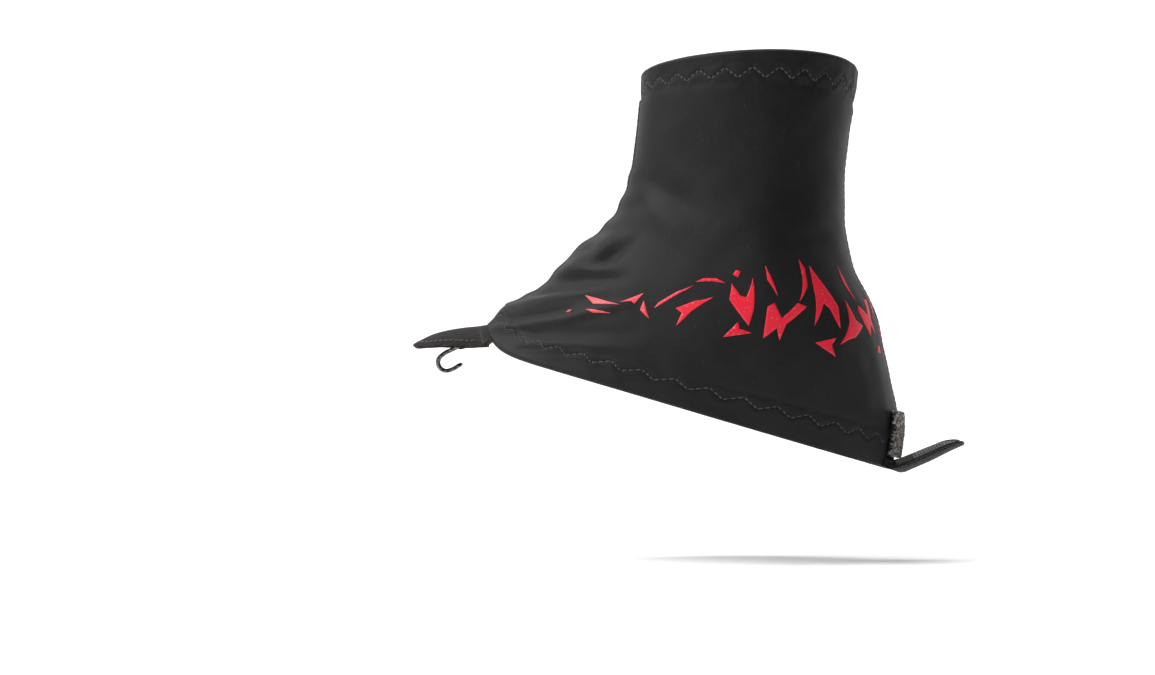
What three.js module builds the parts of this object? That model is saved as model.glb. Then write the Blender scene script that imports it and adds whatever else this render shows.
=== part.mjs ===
// A slip-on trail gaiter, held in the shape it takes over an ankle and a low shoe.
//
// A stretch sleeve of two mirrored panels covers the gap between shoe and leg. Its top and bottom edges are
// turned in over elastic and held with a zigzag stitch. A stiff tab at the front carries a bent-wire hook for
// the laces. At the heel a pull tab folds up onto a patch of loop tape. A patch of hook tape on each side,
// inside the bottom hem, grips the shoe.
//
// Millimetres. The toe is towards -X, the heel +X, the outer side of the foot -Y, and up is +Z.
// The origin is the centre of the cuff, on the axis of the leg.
import * as THREE from "three";

// ---- The sleeve's shape ----

// Sections of the sleeve from the bottom hem up to the cuff. Each runs from a point on the front line to one
// on the heel line, both [x, z]. halfWidth is across the foot, egg moves the widest place towards the heel,
// nose blunts the front, and lift is how far the front stands above the section's own plane.
const STATIONS = [
  { front: [-112.5, -108.0], rear: [60.0, -169.0], halfWidth: 43.0, egg: 0.22, nose: 1.35, lift: 10.0 },
  { front: [-101.5, -100.5], rear: [62.3, -148.5], halfWidth: 44.0, egg: 0.22, nose: 1.25, lift: 6.0 },
  { front: [-87.5, -91.0], rear: [58.0, -126.0], halfWidth: 43.5, egg: 0.2, nose: 1.12, lift: 2.5 },
  { front: [-71.5, -76.0], rear: [53.0, -103.5], halfWidth: 41.0, egg: 0.17, nose: 1.0, lift: 0.8 },
  { front: [-57.0, -61.0], rear: [43.2, -81.5], halfWidth: 38.5, egg: 0.14, nose: 1.0, lift: 0.0 },
  { front: [-50.0, -42.5], rear: [39.1, -54.0], halfWidth: 35.5, egg: 0.12, nose: 1.0, lift: 0.0 },
  { front: [-46.8, -21.0], rear: [41.2, -26.5], halfWidth: 36.0, egg: 0.12, nose: 1.0, lift: 0.0 },
  { front: [-45.8, 0.0], rear: [45.8, 1.0], halfWidth: 37.5, egg: 0.12, nose: 1.0, lift: 0.0 },
];
const RIDGE_SPREAD = 0.45; // radians round from the front over which the lift dies away
const CUFF_LEAN = 0.176; // how steeply the cuff rises towards the outer side
const LEAN_FROM = 0.7; // share of the sleeve's height where that lean begins

// ---- Cloth, hems and stitching ----

const CLOTH = 0.9; // thickness of the sleeve cloth
const GAP = 0.3; // air between neighbouring layers
const ELASTIC = 0.8; // thickness of the elastic in the hems
const SEAM_GAP = 0.3; // between the two panels
const AROUND = 40; // facets round the sleeve
const UPWARDS = 18; // facets up the sleeve

const HEM_TOP = 0.105; // the bottom hem's raw edge, as a share of the sleeve's height
const HEM_STITCH = 0.088; // middle of its zigzag
const CUFF_BOTTOM = 0.93; // the cuff's raw edge
const CUFF_STITCH = 0.941;
const ZIGZAG = 0.011; // half the zigzag's height, as a share of the sleeve's height
const CUFF_ZIGZAGS = 25;
const HEM_ZIGZAGS = 40;
const THREAD = 0.5;
const OVER_STITCH = CLOTH + 0.4 + THREAD; // offset of the outside of the zigzags

const SEAM_WIDTH = 5; // flatlock seams, front and heel
const SEAM_FROM = 0.125;
const HEEL_SEAM_FROM = 0.185; // above the heel patch
const SEAM_TO = 0.915;

// ---- Fastenings ----

const LACE_TAB = {
  root: [-113.9, -107.6], length: 32, halfWidth: 14.5, arch: -0.041, slope: 15,
  shell: 1.0, lining: 0.8, stitchIn: 2.2,
};
const HOOK = { wire: 1.8, halfBar: 5.2, halfTip: 3.2, leg: 10.5, bend: 3.7, back: 4.5, slope: 28 };
const KEEPER = { along: 10.5, length: 7, height: 4.6, width: 7, wall: 1.0 };
const HEEL_TAB = {
  root: [64.4, -170.5], length: 30, halfWidth: 16, arch: 0.0175, slope: 25, strip: 1.2, pad: 1.3, corner: 8,
};
const ANCHOR = { from: 0.3, to: 5.3, foot: 2.4, top: 1.0 };
const HEEL_PATCH = { halfWidth: 16, from: 6.5, to: 24, thickness: 1.5 };
const SIDE_PATCH = {
  turn: 1.78, height: 0.06, width: 24, tall: 9, thickness: 1.6, border: 2.4, step: 0.9, bow: 0.9,
};
const LABEL = { height: 0.87, width: 20, tall: 13, thickness: 0.7, inside: 3.4 };

const MM_PER_HEIGHT = 144; // length of the heel line, near the hem, that the whole sleeve height would be

// ---- Materials ----

function finish(color, roughness, metalness = 0) {
  return new THREE.MeshStandardMaterial({ color, roughness, metalness });
}

const stretchCloth = finish(0x2b2b2c, 0.62);
const elasticWeb = finish(0x1d1d1f, 0.85);
const thread = finish(0x0d0d0e, 0.5);
const suede = finish(0x2e2928, 0.92);
const webbing = finish(0x121213, 0.8);
const loopTape = finish(0x5a504b, 0.95);
const hookTape = finish(0x18181a, 0.6);
const blackWire = finish(0x1c1c1e, 0.35, 1);
const satin = finish(0x3a3a3c, 0.45);

// ---- The sleeve's surface ----

const alongStations = (pick) => new THREE.SplineCurve(STATIONS.map((s) => new THREE.Vector2(...pick(s))));
const frontLine = alongStations((s) => s.front);
const rearLine = alongStations((s) => s.rear);
const girth = alongStations((s) => [s.halfWidth, s.egg]);
const shaping = alongStations((s) => [s.nose, s.lift]);

// A point of the sleeve's inner surface. turn goes once round from the front, by the outer side, the heel and
// the inner side, in radians. height is 0 at the hem and 1 at the cuff.
function skin(turn, height) {
  const front = frontLine.getPoint(height);
  const rear = rearLine.getPoint(height);
  const [halfWidth, egg] = girth.getPoint(height).toArray();
  const [nose, lift] = shaping.getPoint(height).toArray();
  const back = ((1 - Math.cos(turn)) / 2) ** nose;
  const y = -halfWidth * Math.sin(turn) * (1 - egg * Math.cos(turn));
  const fromFront = Math.min(Math.abs(turn), Math.abs(2 * Math.PI - turn));
  const ridge = lift * Math.exp(-((fromFront / RIDGE_SPREAD) ** 2));
  const lean = CUFF_LEAN * THREE.MathUtils.smoothstep(height, LEAN_FROM, 1);
  const x = THREE.MathUtils.lerp(front.x, rear.x, back);
  const z = THREE.MathUtils.lerp(front.y - lift, rear.y, back) + ridge - lean * y;
  return new THREE.Vector3(x, y, z);
}

// The outward direction at that point.
function outward(turn, height) {
  const step = 1e-3;
  const round = skin(turn + step, height).sub(skin(turn - step, height));
  const low = Math.max(height - step, 0);
  const up = skin(turn, Math.min(height + step, 1)).sub(skin(turn, low));
  return round.cross(up).normalize();
}

const onSkin = (turn, height, offset) => skin(turn, height).addScaledVector(outward(turn, height), offset);

// The turn from the front, or from the heel, that lies a distance of y to the outer side.
function turnFor(y, height, atHeel) {
  const [halfWidth, egg] = girth.getPoint(height).toArray();
  return y / (halfWidth * (atHeel ? 1 + egg : 1 - egg));
}

// ---- Ways of making solids ----

function steps(from, to, count) {
  return Array.from({ length: count + 1 }, (_, i) => from + ((to - from) * i) / count);
}

function part(name, geometry, material) {
  const mesh = new THREE.Mesh(geometry, material);
  mesh.name = name;
  return mesh;
}

// A thin solid from a grid of places, each a pair of points [face, back]. Both faces are split along the same
// diagonals, so that neighbouring layers stay parallel. The way from row to row, crossed with the way along a
// row, points out of the face. A grid that wraps ends where it began and has no end walls.
function slab(grid, wraps = false) {
  const corners = [];
  const quad = (a, b, c, d) => corners.push(b, a, d, c, b, d);
  const [rows, columns] = [grid.length - 1, grid[0].length - 1];
  for (let i = 0; i < rows; i++) {
    const [row, next] = [grid[i], grid[i + 1]];
    for (let j = 0; j < columns; j++) {
      const [a, b, c, d] = [row[j], row[j + 1], next[j + 1], next[j]];
      quad(a[0], b[0], c[0], d[0]);
      corners.push(a[1], b[1], d[1], b[1], c[1], d[1]);
    }
    quad(row[0][1], row[0][0], next[0][0], next[0][1]);
    quad(row[columns][0], row[columns][1], next[columns][1], next[columns][0]);
  }
  for (let j = 0; j < columns && !wraps; j++) {
    const [start, end] = [grid[0], grid[rows]];
    quad(start[j][1], start[j + 1][1], start[j + 1][0], start[j][0]);
    quad(end[j][0], end[j + 1][0], end[j + 1][1], end[j][1]);
  }
  const geometry = new THREE.BufferGeometry().setFromPoints(corners);
  geometry.computeVertexNormals();
  return geometry;
}

// A layer of the sleeve's wall between two offsets. Each turn is a function of the height.
function wall(turns, heights, inner, outer, wraps = false) {
  const place = (turn, height) => [onSkin(turn, height, outer), onSkin(turn, height, inner)];
  return slab(turns.map((turn) => heights.map((height) => place(turn(height), height))), wraps);
}

const wholeTurn = steps(0, 2 * Math.PI, AROUND).map((turn) => () => turn);
const ring = (from, to, rows, inner, outer) => wall(wholeTurn, steps(from, to, rows), inner, outer, true);

// A zigzag thread lying on the sleeve, all the way round.
function zigzag(height, count) {
  const base = OVER_STITCH - THREAD;
  const half = THREAD / MM_PER_HEIGHT;
  const grid = steps(0, 4 * count, 4 * count).map((i) => {
    const turn = (2 * Math.PI * i) / (4 * count);
    const middle = height + ZIGZAG * [0, 1, 0, -1][i % 4];
    return [middle - half, middle + half].map((h) => [onSkin(turn, h, OVER_STITCH), onSkin(turn, h, base)]);
  });
  return slab(grid, true);
}

// A flatlock seam up the front or the heel.
function seam(centre, atHeel, from, to) {
  const base = CLOTH + GAP;
  const turns = [-1, 0, 1].map((side) => (h) => centre + side * turnFor(SEAM_WIDTH / 2, h, atHeel));
  return wall(turns, steps(from, to, UPWARDS), base, base + THREAD);
}

// A strip that runs along +X, with its middle on the XZ plane and its edges bent up (arch > 0) or down.
function archedStrip(lengths, halfWidthAt, arch, bottom, top, columns = 8) {
  const pair = (x, y) => [top, bottom].map((z) => new THREE.Vector3(x, y, z + arch * y * y));
  return slab(lengths.map((x) => steps(-halfWidthAt(x), halfWidthAt(x), columns).map((y) => pair(x, y))));
}

// A line of stitching. place gives a point of it from the share of the way along, how far to one side, and
// how far up.
function stitchLine(count, place, wraps) {
  const pair = (share, side) => [THREAD, 0].map((up) => place(share, (side * THREAD) / 2, up));
  return slab(steps(0, 1, count).map((share) => [pair(share, 1), pair(share, -1)]), wraps);
}

function roundedRectangle(width, height, radius) {
  const [x, y] = [width / 2 - radius, height / 2 - radius];
  return new THREE.Shape()
    .absarc(x, y, radius, 0, Math.PI / 2)
    .absarc(-x, y, radius, Math.PI / 2, Math.PI)
    .absarc(-x, -y, radius, Math.PI, 1.5 * Math.PI)
    .absarc(x, -y, radius, 1.5 * Math.PI, 2 * Math.PI)
    .closePath();
}

// Lays a flat patch against the inside of the sleeve: its own X runs round the sleeve and its Z inwards.
function layAgainst(object, turn, height, inside) {
  const inward = outward(turn, height).negate();
  const along = skin(turn - 0.02, height).sub(skin(turn + 0.02, height));
  along.addScaledVector(inward, -along.dot(inward)).normalize();
  const up = new THREE.Vector3().crossVectors(inward, along);
  const frame = new THREE.Matrix4().makeBasis(along, up, inward);
  object.applyMatrix4(frame.setPosition(onSkin(turn, height, -inside)));
  return object;
}

// ---- Sleeve, hems and seams ----

// One half of the sleeve. The edges keep clear of the other half by half the seam gap.
function panel(fromTurn, toTurn) {
  const nearFront = (h) => turnFor(SEAM_GAP / 2, h, false);
  const nearHeel = (h) => turnFor(SEAM_GAP / 2, h, true);
  const inset = (turn) => (turn % (2 * Math.PI) === 0 ? nearFront : nearHeel);
  const turns = steps(fromTurn, toTurn, AROUND / 2).map((turn) => () => turn);
  turns[0] = (h) => fromTurn + inset(fromTurn)(h);
  turns[AROUND / 2] = (h) => toTurn - inset(toTurn)(h);
  return wall(turns, steps(0, 1, UPWARDS), 0, CLOTH);
}

function sleeve() {
  const elasticOuter = -GAP;
  const facingOuter = elasticOuter - ELASTIC - GAP;
  const group = new THREE.Group();
  group.add(
    part("sleeve_lateral", panel(0, Math.PI), stretchCloth),
    part("sleeve_medial", panel(Math.PI, 2 * Math.PI), stretchCloth),
    part("front_seam", seam(0, false, SEAM_FROM, SEAM_TO), thread),
    part("heel_seam", seam(Math.PI, true, HEEL_SEAM_FROM, SEAM_TO), thread),
    part("cuff_facing", ring(CUFF_BOTTOM, 0.998, 2, facingOuter - CLOTH, facingOuter), stretchCloth),
    part("cuff_elastic", ring(0.95, 0.992, 1, elasticOuter - ELASTIC, elasticOuter), elasticWeb),
    part("cuff_stitch", zigzag(CUFF_STITCH, CUFF_ZIGZAGS), thread),
    part("hem_facing", ring(0.002, HEM_TOP, 2, facingOuter - CLOTH, facingOuter), stretchCloth),
    part("hem_elastic", ring(0.008, 0.062, 1, elasticOuter - ELASTIC, elasticOuter), elasticWeb),
    part("hem_stitch", zigzag(HEM_STITCH, HEM_ZIGZAGS), thread),
  );
  return group;
}

function careLabel() {
  const shape = roundedRectangle(LABEL.width, LABEL.tall, 1);
  const flat = { depth: LABEL.thickness, bevelEnabled: false, curveSegments: 3 };
  const geometry = new THREE.ExtrudeGeometry(shape, flat);
  return layAgainst(part("care_label", geometry, satin), Math.PI, LABEL.height, LABEL.inside);
}

// ---- Side patches of hook tape, inside the bottom hem ----

// Each has a field of hooks that stands above its sewn border.
function sidePatch(side, turn) {
  const { width, tall, thickness, border, step, bow } = SIDE_PATCH;
  const place = (x, y) => {
    const inField = Math.abs(x) < width / 2 - border && Math.abs(y) < tall / 2 - border;
    return [inField ? thickness : thickness - step, 0].map((z) => new THREE.Vector3(x, y, z));
  };
  const lines = (size) => [0, border, border + 0.4].flatMap((inset) => [inset - size / 2, size / 2 - inset]);
  const inOrder = (size) => lines(size).sort((a, b) => a - b);
  const grid = inOrder(width).map((x) => inOrder(tall).map((y) => place(x, y)));
  const stitch = roundedRectangle(width - 2, tall - 2, 1.4);
  stitch.holes.push(roundedRectangle(width - 3.2, tall - 3.2, 1));
  const ring = new THREE.ExtrudeGeometry(stitch, { depth: 0.4, bevelEnabled: false, curveSegments: 3 });
  const tape = part("side_hook_patch_" + side, slab(grid), hookTape);
  const sewing = part("side_patch_stitch_" + side, ring, thread);
  sewing.position.z = thickness - step + GAP;
  const group = new THREE.Group().add(tape, sewing);
  const facingInside = GAP + ELASTIC + GAP + CLOTH;
  return layAgainst(group, turn, SIDE_PATCH.height, facingInside + bow);
}

// ---- Front tab and lace hook ----

// The tab's outline is half an ellipse with its straight side at the root.
const tabHalfWidth = (x) => LACE_TAB.halfWidth * Math.sqrt(Math.max(1 - (x / LACE_TAB.length) ** 2, 0));

function laceTab() {
  const lengths = steps(2, 81, 8).map((angle) => LACE_TAB.length * Math.sin(THREE.MathUtils.degToRad(angle)));
  const { arch, shell, lining } = LACE_TAB;
  const group = new THREE.Group();
  group.position.set(LACE_TAB.root[0], 0, LACE_TAB.root[1]);
  group.rotation.set(0, THREE.MathUtils.degToRad(-LACE_TAB.slope), Math.PI); // the strip's +X is to the toe

  const threadPath = (share, side, z) => {
    const angle = THREE.MathUtils.degToRad(THREE.MathUtils.lerp(-80, 80, share));
    const inset = LACE_TAB.stitchIn - side;
    const x = (LACE_TAB.length - inset) * Math.cos(angle);
    const y = (LACE_TAB.halfWidth - inset) * Math.sin(angle);
    return new THREE.Vector3(x, y, GAP + z + arch * y * y);
  };
  group.add(
    part("lace_tab", archedStrip(lengths, tabHalfWidth, arch, -shell, 0), suede),
    part("lace_tab_lining", archedStrip(lengths, (x) => tabHalfWidth(x) - 0.6, arch, -shell - GAP - lining,
      -shell - GAP), webbing),
    part("lace_tab_stitch", stitchLine(18, threadPath, false), thread),
    hookKeeper(),
  );
  return group;
}

const KEEPER_TOP = LACE_TAB.arch * (KEEPER.width / 2) ** 2 - LACE_TAB.shell - LACE_TAB.lining - 2 * GAP;
const BAR_DEPTH = KEEPER_TOP - KEEPER.height / 2; // the hook's bar, below the top of the tab

// A sewn loop of webbing under the tab, round the hook's bar.
function hookKeeper() {
  const loop = roundedRectangle(KEEPER.length, KEEPER.height, 1.6);
  loop.holes.push(roundedRectangle(KEEPER.length - 2 * KEEPER.wall, KEEPER.height - 2 * KEEPER.wall, 1.1));
  const across = { depth: KEEPER.width, bevelEnabled: false, curveSegments: 3 };
  const geometry = new THREE.ExtrudeGeometry(loop, across);
  geometry.translate(0, 0, -KEEPER.width / 2).rotateX(Math.PI / 2);
  const keeper = part("hook_keeper", geometry, webbing);
  keeper.position.set(KEEPER.along, 0, BAR_DEPTH);
  return keeper;
}

// The wire: a bar across the keeper, two legs, and a bend that turns back under to catch a lace.
function laceHook() {
  const { wire, halfBar, halfTip, leg, bend, back, slope } = HOOK;
  const side = (sign) => [
    new THREE.Vector3(0, sign * (halfBar - 1.2), 0),
    new THREE.Vector3(0.9, sign * halfBar, 0),
    new THREE.Vector3(leg / 2, sign * (halfBar - 0.5), 0),
    ...steps(0, Math.PI, 4).map((angle) => {
      const out = THREE.MathUtils.lerp(halfTip + 0.6, halfTip, angle / Math.PI);
      return new THREE.Vector3(leg + bend * Math.sin(angle), sign * out, bend * (Math.cos(angle) - 1));
    }),
    new THREE.Vector3(leg - back + 0.8, sign * halfTip, -2 * bend),
    new THREE.Vector3(leg - back, sign * (halfTip - 1), -2 * bend),
  ];
  const path = new THREE.CatmullRomCurve3([...side(1), ...side(-1).reverse()], true, "centripetal");
  const hook = part("lace_hook", new THREE.TubeGeometry(path, 56, wire / 2, 6, true), blackWire);
  const tab = new THREE.Group();
  tab.position.set(LACE_TAB.root[0], 0, LACE_TAB.root[1]);
  tab.rotation.set(0, THREE.MathUtils.degToRad(-LACE_TAB.slope), Math.PI);
  hook.position.set(KEEPER.along, 0, BAR_DEPTH);
  hook.rotation.y = THREE.MathUtils.degToRad(slope - LACE_TAB.slope);
  return tab.add(hook);
}

// ---- Heel patch and pull tab ----

// A point of the heel, y across and up above the hem's edge, both in millimetres along the cloth.
function onHeel(y, up, offset) {
  const height = up / MM_PER_HEIGHT;
  return onSkin(Math.PI + turnFor(y, height, true), height, offset);
}

function heelPatch() {
  const { halfWidth, from, to, thickness } = HEEL_PATCH;
  const base = OVER_STITCH + GAP;
  const pair = (y, up) => [onHeel(y, up, base + thickness), onHeel(y, up, base)];
  const grid = steps(-halfWidth, halfWidth, 9).map((y) => steps(from, to, 3).map((up) => pair(y, up)));
  const outline = roundedRectangle(2 * halfWidth - 4, to - from - 4, 1.5).getSpacedPoints(36);
  const sewing = stitchLine(36, (share, side, z) => {
    const spot = outline[Math.round(share * 36) % 36];
    const grow = 1 + side / spot.length();
    return onHeel(spot.x * grow, (from + to) / 2 + spot.y * grow, base + thickness + GAP + z);
  }, true);
  return new THREE.Group().add(
    part("heel_loop_patch", slab(grid), loopTape),
    part("heel_patch_stitch", sewing, thread),
  );
}

// The root of the pull tab, sewn across the bottom of the heel below the loop patch.
function heelTabAnchor() {
  const base = CLOTH + GAP;
  const { from, to, foot, top } = ANCHOR;
  const pair = (y, up, thick) => [onHeel(y, up, base + thick), onHeel(y, up, base)];
  const columns = steps(-HEEL_TAB.halfWidth, HEEL_TAB.halfWidth, 8);
  return part("heel_tab_anchor", slab(columns.map((y) => [pair(y, from, foot), pair(y, to, top)])), webbing);
}

function heelTab() {
  const { root, length, halfWidth, arch, slope, strip, pad, corner } = HEEL_TAB;
  const outline = (inset) => (x) => {
    const past = Math.max(x - (length - inset - corner), 0);
    const round = corner - Math.sqrt(Math.max(corner ** 2 - past ** 2, 0));
    return halfWidth - inset - 0.07 * x - round;
  };
  const reach = (from, inset) => {
    const end = length - inset;
    return [...steps(from, end - corner, 4), ...[0.5, 0.8, 0.97].map((k) => end - corner + corner * k)];
  };
  const sewn = (share, side, z) => {
    const sweep = THREE.MathUtils.lerp(-1, 1, share);
    const inset = 1.6 - side;
    const onSide = Math.abs(sweep) > 0.5;
    const x = onSide ? 2 + (length - inset - 5) * (1 - Math.abs(sweep)) * 2 : length - inset - 3;
    const y = outline(inset)(x) * (onSide ? Math.sign(sweep) : sweep * 2);
    return new THREE.Vector3(x, y, -strip - GAP - THREAD + z + arch * y * y);
  };
  const group = new THREE.Group();
  group.position.set(root[0], 0, root[1]);
  group.rotation.y = THREE.MathUtils.degToRad(-slope);
  group.add(
    part("heel_tab", archedStrip(reach(0.8, 0), outline(0), arch, -strip, 0), webbing),
    part("heel_tab_hook_pad", archedStrip(reach(9, 2), outline(2), arch, GAP, GAP + pad), hookTape),
    part("heel_tab_stitch", stitchLine(24, sewn, false), thread),
  );
  return group;
}

// ---- The gaiter ----

const gaiter = new THREE.Group();
gaiter.add(
  sleeve(),
  careLabel(),
  sidePatch("lateral", SIDE_PATCH.turn),
  sidePatch("medial", 2 * Math.PI - SIDE_PATCH.turn),
  laceTab(),
  laceHook(),
  heelPatch(),
  heelTabAnchor(),
  heelTab(),
);

export default gaiter;
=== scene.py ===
# %% [markdown]
# # A trail gaiter
#
# A gaiter is a stretch sleeve that closes the gap between a low shoe and the leg. This one is shown as it
# sits when worn, with no leg or shoe in it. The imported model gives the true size, the moving bodies and
# the place of every piece. Each step below makes one piece or one finish in fine detail and hands it to
# the body it moves with.

import math

import bpy
import numpy as np
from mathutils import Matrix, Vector
from mathutils.geometry import delaunay_2d_cdt


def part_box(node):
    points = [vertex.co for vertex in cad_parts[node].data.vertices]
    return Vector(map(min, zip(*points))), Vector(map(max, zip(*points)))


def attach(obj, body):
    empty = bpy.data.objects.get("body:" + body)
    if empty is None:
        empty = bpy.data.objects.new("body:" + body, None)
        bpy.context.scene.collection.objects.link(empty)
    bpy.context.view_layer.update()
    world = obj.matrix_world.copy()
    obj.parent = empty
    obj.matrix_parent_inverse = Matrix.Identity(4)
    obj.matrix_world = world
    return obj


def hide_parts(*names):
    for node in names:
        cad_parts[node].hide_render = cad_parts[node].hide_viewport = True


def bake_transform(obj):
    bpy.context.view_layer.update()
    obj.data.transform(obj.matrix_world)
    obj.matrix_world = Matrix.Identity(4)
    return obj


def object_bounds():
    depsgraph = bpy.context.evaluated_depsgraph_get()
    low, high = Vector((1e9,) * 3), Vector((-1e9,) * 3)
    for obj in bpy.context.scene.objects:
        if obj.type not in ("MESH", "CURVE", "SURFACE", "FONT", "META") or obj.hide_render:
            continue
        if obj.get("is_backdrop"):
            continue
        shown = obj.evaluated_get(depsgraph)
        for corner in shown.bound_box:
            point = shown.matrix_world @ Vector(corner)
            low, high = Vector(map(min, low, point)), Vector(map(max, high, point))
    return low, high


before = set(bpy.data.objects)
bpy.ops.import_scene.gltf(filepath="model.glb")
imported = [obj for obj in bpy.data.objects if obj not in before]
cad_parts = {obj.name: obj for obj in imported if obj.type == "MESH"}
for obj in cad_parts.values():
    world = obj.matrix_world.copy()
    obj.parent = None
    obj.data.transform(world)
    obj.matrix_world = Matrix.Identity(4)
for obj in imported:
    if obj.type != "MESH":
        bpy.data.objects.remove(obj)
cad_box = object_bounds()

# %% [markdown]
# ## Camera, floor and light
#
# The gaiter is seen square from its outer side, at its own height, through a long lens, so that its
# outline is hardly foreshortened. The floor is where the shoe's sole would stand. It curves up behind
# into a wall, as a paper backdrop does, so there is no horizon, and a wide light of its own keeps that
# wall white. One soft light comes from high up at the toe. It skims the side, so that folds in black
# cloth still show. A weak light from above fills it in, and a narrow one from behind picks out the heel's
# edge.

# %% Camera
MM = 0.001
FLOOR_Z = -208.6
VIEW_CENTRE = np.array([-74.0, 0.0, -112.9])
VIEW_DISTANCE = 1300.0
VIEW_WIDTH = 496.6

camera_data = bpy.data.cameras.new("camera")
camera_data.sensor_width = 36.0
camera_data.lens = 36.0 * VIEW_DISTANCE / VIEW_WIDTH
camera_data.clip_end = 20
camera = bpy.data.objects.new("camera", camera_data)
camera.location = Vector((VIEW_CENTRE[0], -VIEW_DISTANCE, VIEW_CENTRE[2])) * MM
camera.rotation_euler = (math.pi / 2, 0, 0)
bpy.context.scene.collection.objects.link(camera)
bpy.context.scene.camera = camera
bpy.context.scene.view_settings.view_transform = "Standard"
print("lens", round(camera_data.lens, 1), "mm")


# %% Helpers for materials
def new_material(name, color, roughness, **shader):
    """A material with its own Principled shader. Constant values go straight onto the shader's sockets."""
    material = bpy.data.materials.new(name)
    material.use_nodes = True
    surface = material.node_tree.nodes["Principled BSDF"]
    surface.inputs["Base Color"].default_value = (*color, 1)
    surface.inputs["Roughness"].default_value = roughness
    for socket, value in shader.items():
        surface.inputs[socket.replace("_", " ")].default_value = value
    return material


def add_node(tree, kind, **settings):
    """A node with its properties set. The dict called inputs gives input values by name or number."""
    inputs = settings.pop("inputs", {})
    node = tree.nodes.new(kind)
    for name, value in settings.items():
        setattr(node, name, value)
    for name, value in inputs.items():
        if isinstance(value, bpy.types.NodeSocket):
            tree.links.new(value, node.inputs[name])
        else:
            node.inputs[name].default_value = value
    return node


def math_node(tree, operation, *values, clamp=False):
    """One step of arithmetic, which gives its output socket."""
    inputs = dict(enumerate(values))
    node = add_node(tree, "ShaderNodeMath", operation=operation, use_clamp=clamp, inputs=inputs)
    return node.outputs[0]


def mix_colors(tree, factor, first, second):
    node = add_node(tree, "ShaderNodeMix", data_type="RGBA")
    for index, value in ((0, factor), (6, first), (7, second)):
        if isinstance(value, bpy.types.NodeSocket):
            tree.links.new(value, node.inputs[index])
        else:
            node.inputs[index].default_value = value if index == 0 else (*value[:3], 1)
    return node.outputs[2]


def ramp(tree, factor, *stops):
    """Maps a number to grey through stops of (place, brightness)."""
    node = add_node(tree, "ShaderNodeValToRGB", inputs={"Fac": factor})
    for element, (place, level) in zip(node.color_ramp.elements, (stops[0], stops[-1])):
        element.position = place
        element.color = (level, level, level, 1)
    for place, level in stops[1:-1]:
        node.color_ramp.elements.new(place).color = (level, level, level, 1)
    return node.outputs[0]


def add_bump(material, height, distance, strength=1.0):
    """Feeds a height, in metres times distance, into the shader's normal."""
    tree = material.node_tree
    inputs = {"Height": height, "Distance": distance, "Strength": strength}
    bump = add_node(tree, "ShaderNodeBump", inputs=inputs)
    tree.links.new(bump.outputs["Normal"], tree.nodes["Principled BSDF"].inputs["Normal"])


def connect(material, socket, value):
    material.node_tree.links.new(value, material.node_tree.nodes["Principled BSDF"].inputs[socket])


# %% Floor and backdrop
def build_backdrop():
    profile = [(-3.0, 0.0), (1.2, 0.0)]
    profile += [(1.2 + 0.9 * math.sin(a), 0.9 - 0.9 * math.cos(a)) for a in np.linspace(0.1, math.pi / 2, 14)]
    profile += [(2.1, 4.0)]
    vertices = [(x, y, z + FLOOR_Z * MM) for x in (-5.0, 5.0) for y, z in profile]
    count = len(profile)
    faces = [(i, i + count, i + count + 1, i + 1) for i in range(count - 1)]
    mesh = bpy.data.meshes.new("backdrop")
    mesh.from_pydata(vertices, [], faces)
    mesh.shade_smooth()
    mesh.materials.append(new_material("backdrop_paper", (0.93, 0.93, 0.93), 0.85))
    backdrop = bpy.data.objects.new("backdrop", mesh)
    bpy.context.scene.collection.objects.link(backdrop)
    backdrop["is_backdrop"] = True
    return backdrop


print(build_backdrop().name, "at", FLOOR_Z, "mm")


# %% Lights
def area_light(name, place, aim, width, height, watts):
    light = bpy.data.lights.new(name, "AREA")
    light.shape = "RECTANGLE"
    light.size = width
    light.size_y = height
    light.energy = watts
    lamp = bpy.data.objects.new(name, light)
    lamp.location = place
    lamp.rotation_euler = (Vector(aim) - Vector(place)).to_track_quat("-Z", "Y").to_euler()
    bpy.context.scene.collection.objects.link(lamp)
    return lamp


MIDDLE = (-0.02, 0.0, -0.1)
area_light("key_softbox", (-1.1, -0.36, 0.9), MIDDLE, 0.8, 0.8, 33)
area_light("top_softbox", (0.0, 0.2, 1.3), MIDDLE, 1.4, 1.0, 8)
area_light("heel_strip", (0.8, 0.6, 0.15), MIDDLE, 0.2, 1.0, 0.8)
area_light("wall_wash", (0.0, 0.7, 2.2), (0.0, 2.1, 0.35), 3.0, 0.5, 60)
world = bpy.data.worlds.new("studio")
world.use_nodes = True
world.node_tree.nodes["Background"].inputs["Color"].default_value = (1, 1, 1, 1)
world.node_tree.nodes["Background"].inputs["Strength"].default_value = 0.18
bpy.context.scene.world = world
print("lights:", len(bpy.data.lights))

# %% [markdown]
# ## The sleeve as a surface
#
# The sleeve is a smooth tube that bends from the leg, which is upright and round, to the foot, which is
# long and low. It could be sculpted, but a formula is easier to fit: a few sections from the hem to the
# cuff, each an egg-shaped ring, are joined with a spline. Every layer of the gaiter, from the elastic
# inside to the print outside, then lies at its own offset from the same surface, so nothing floats or
# cuts in.

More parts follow.
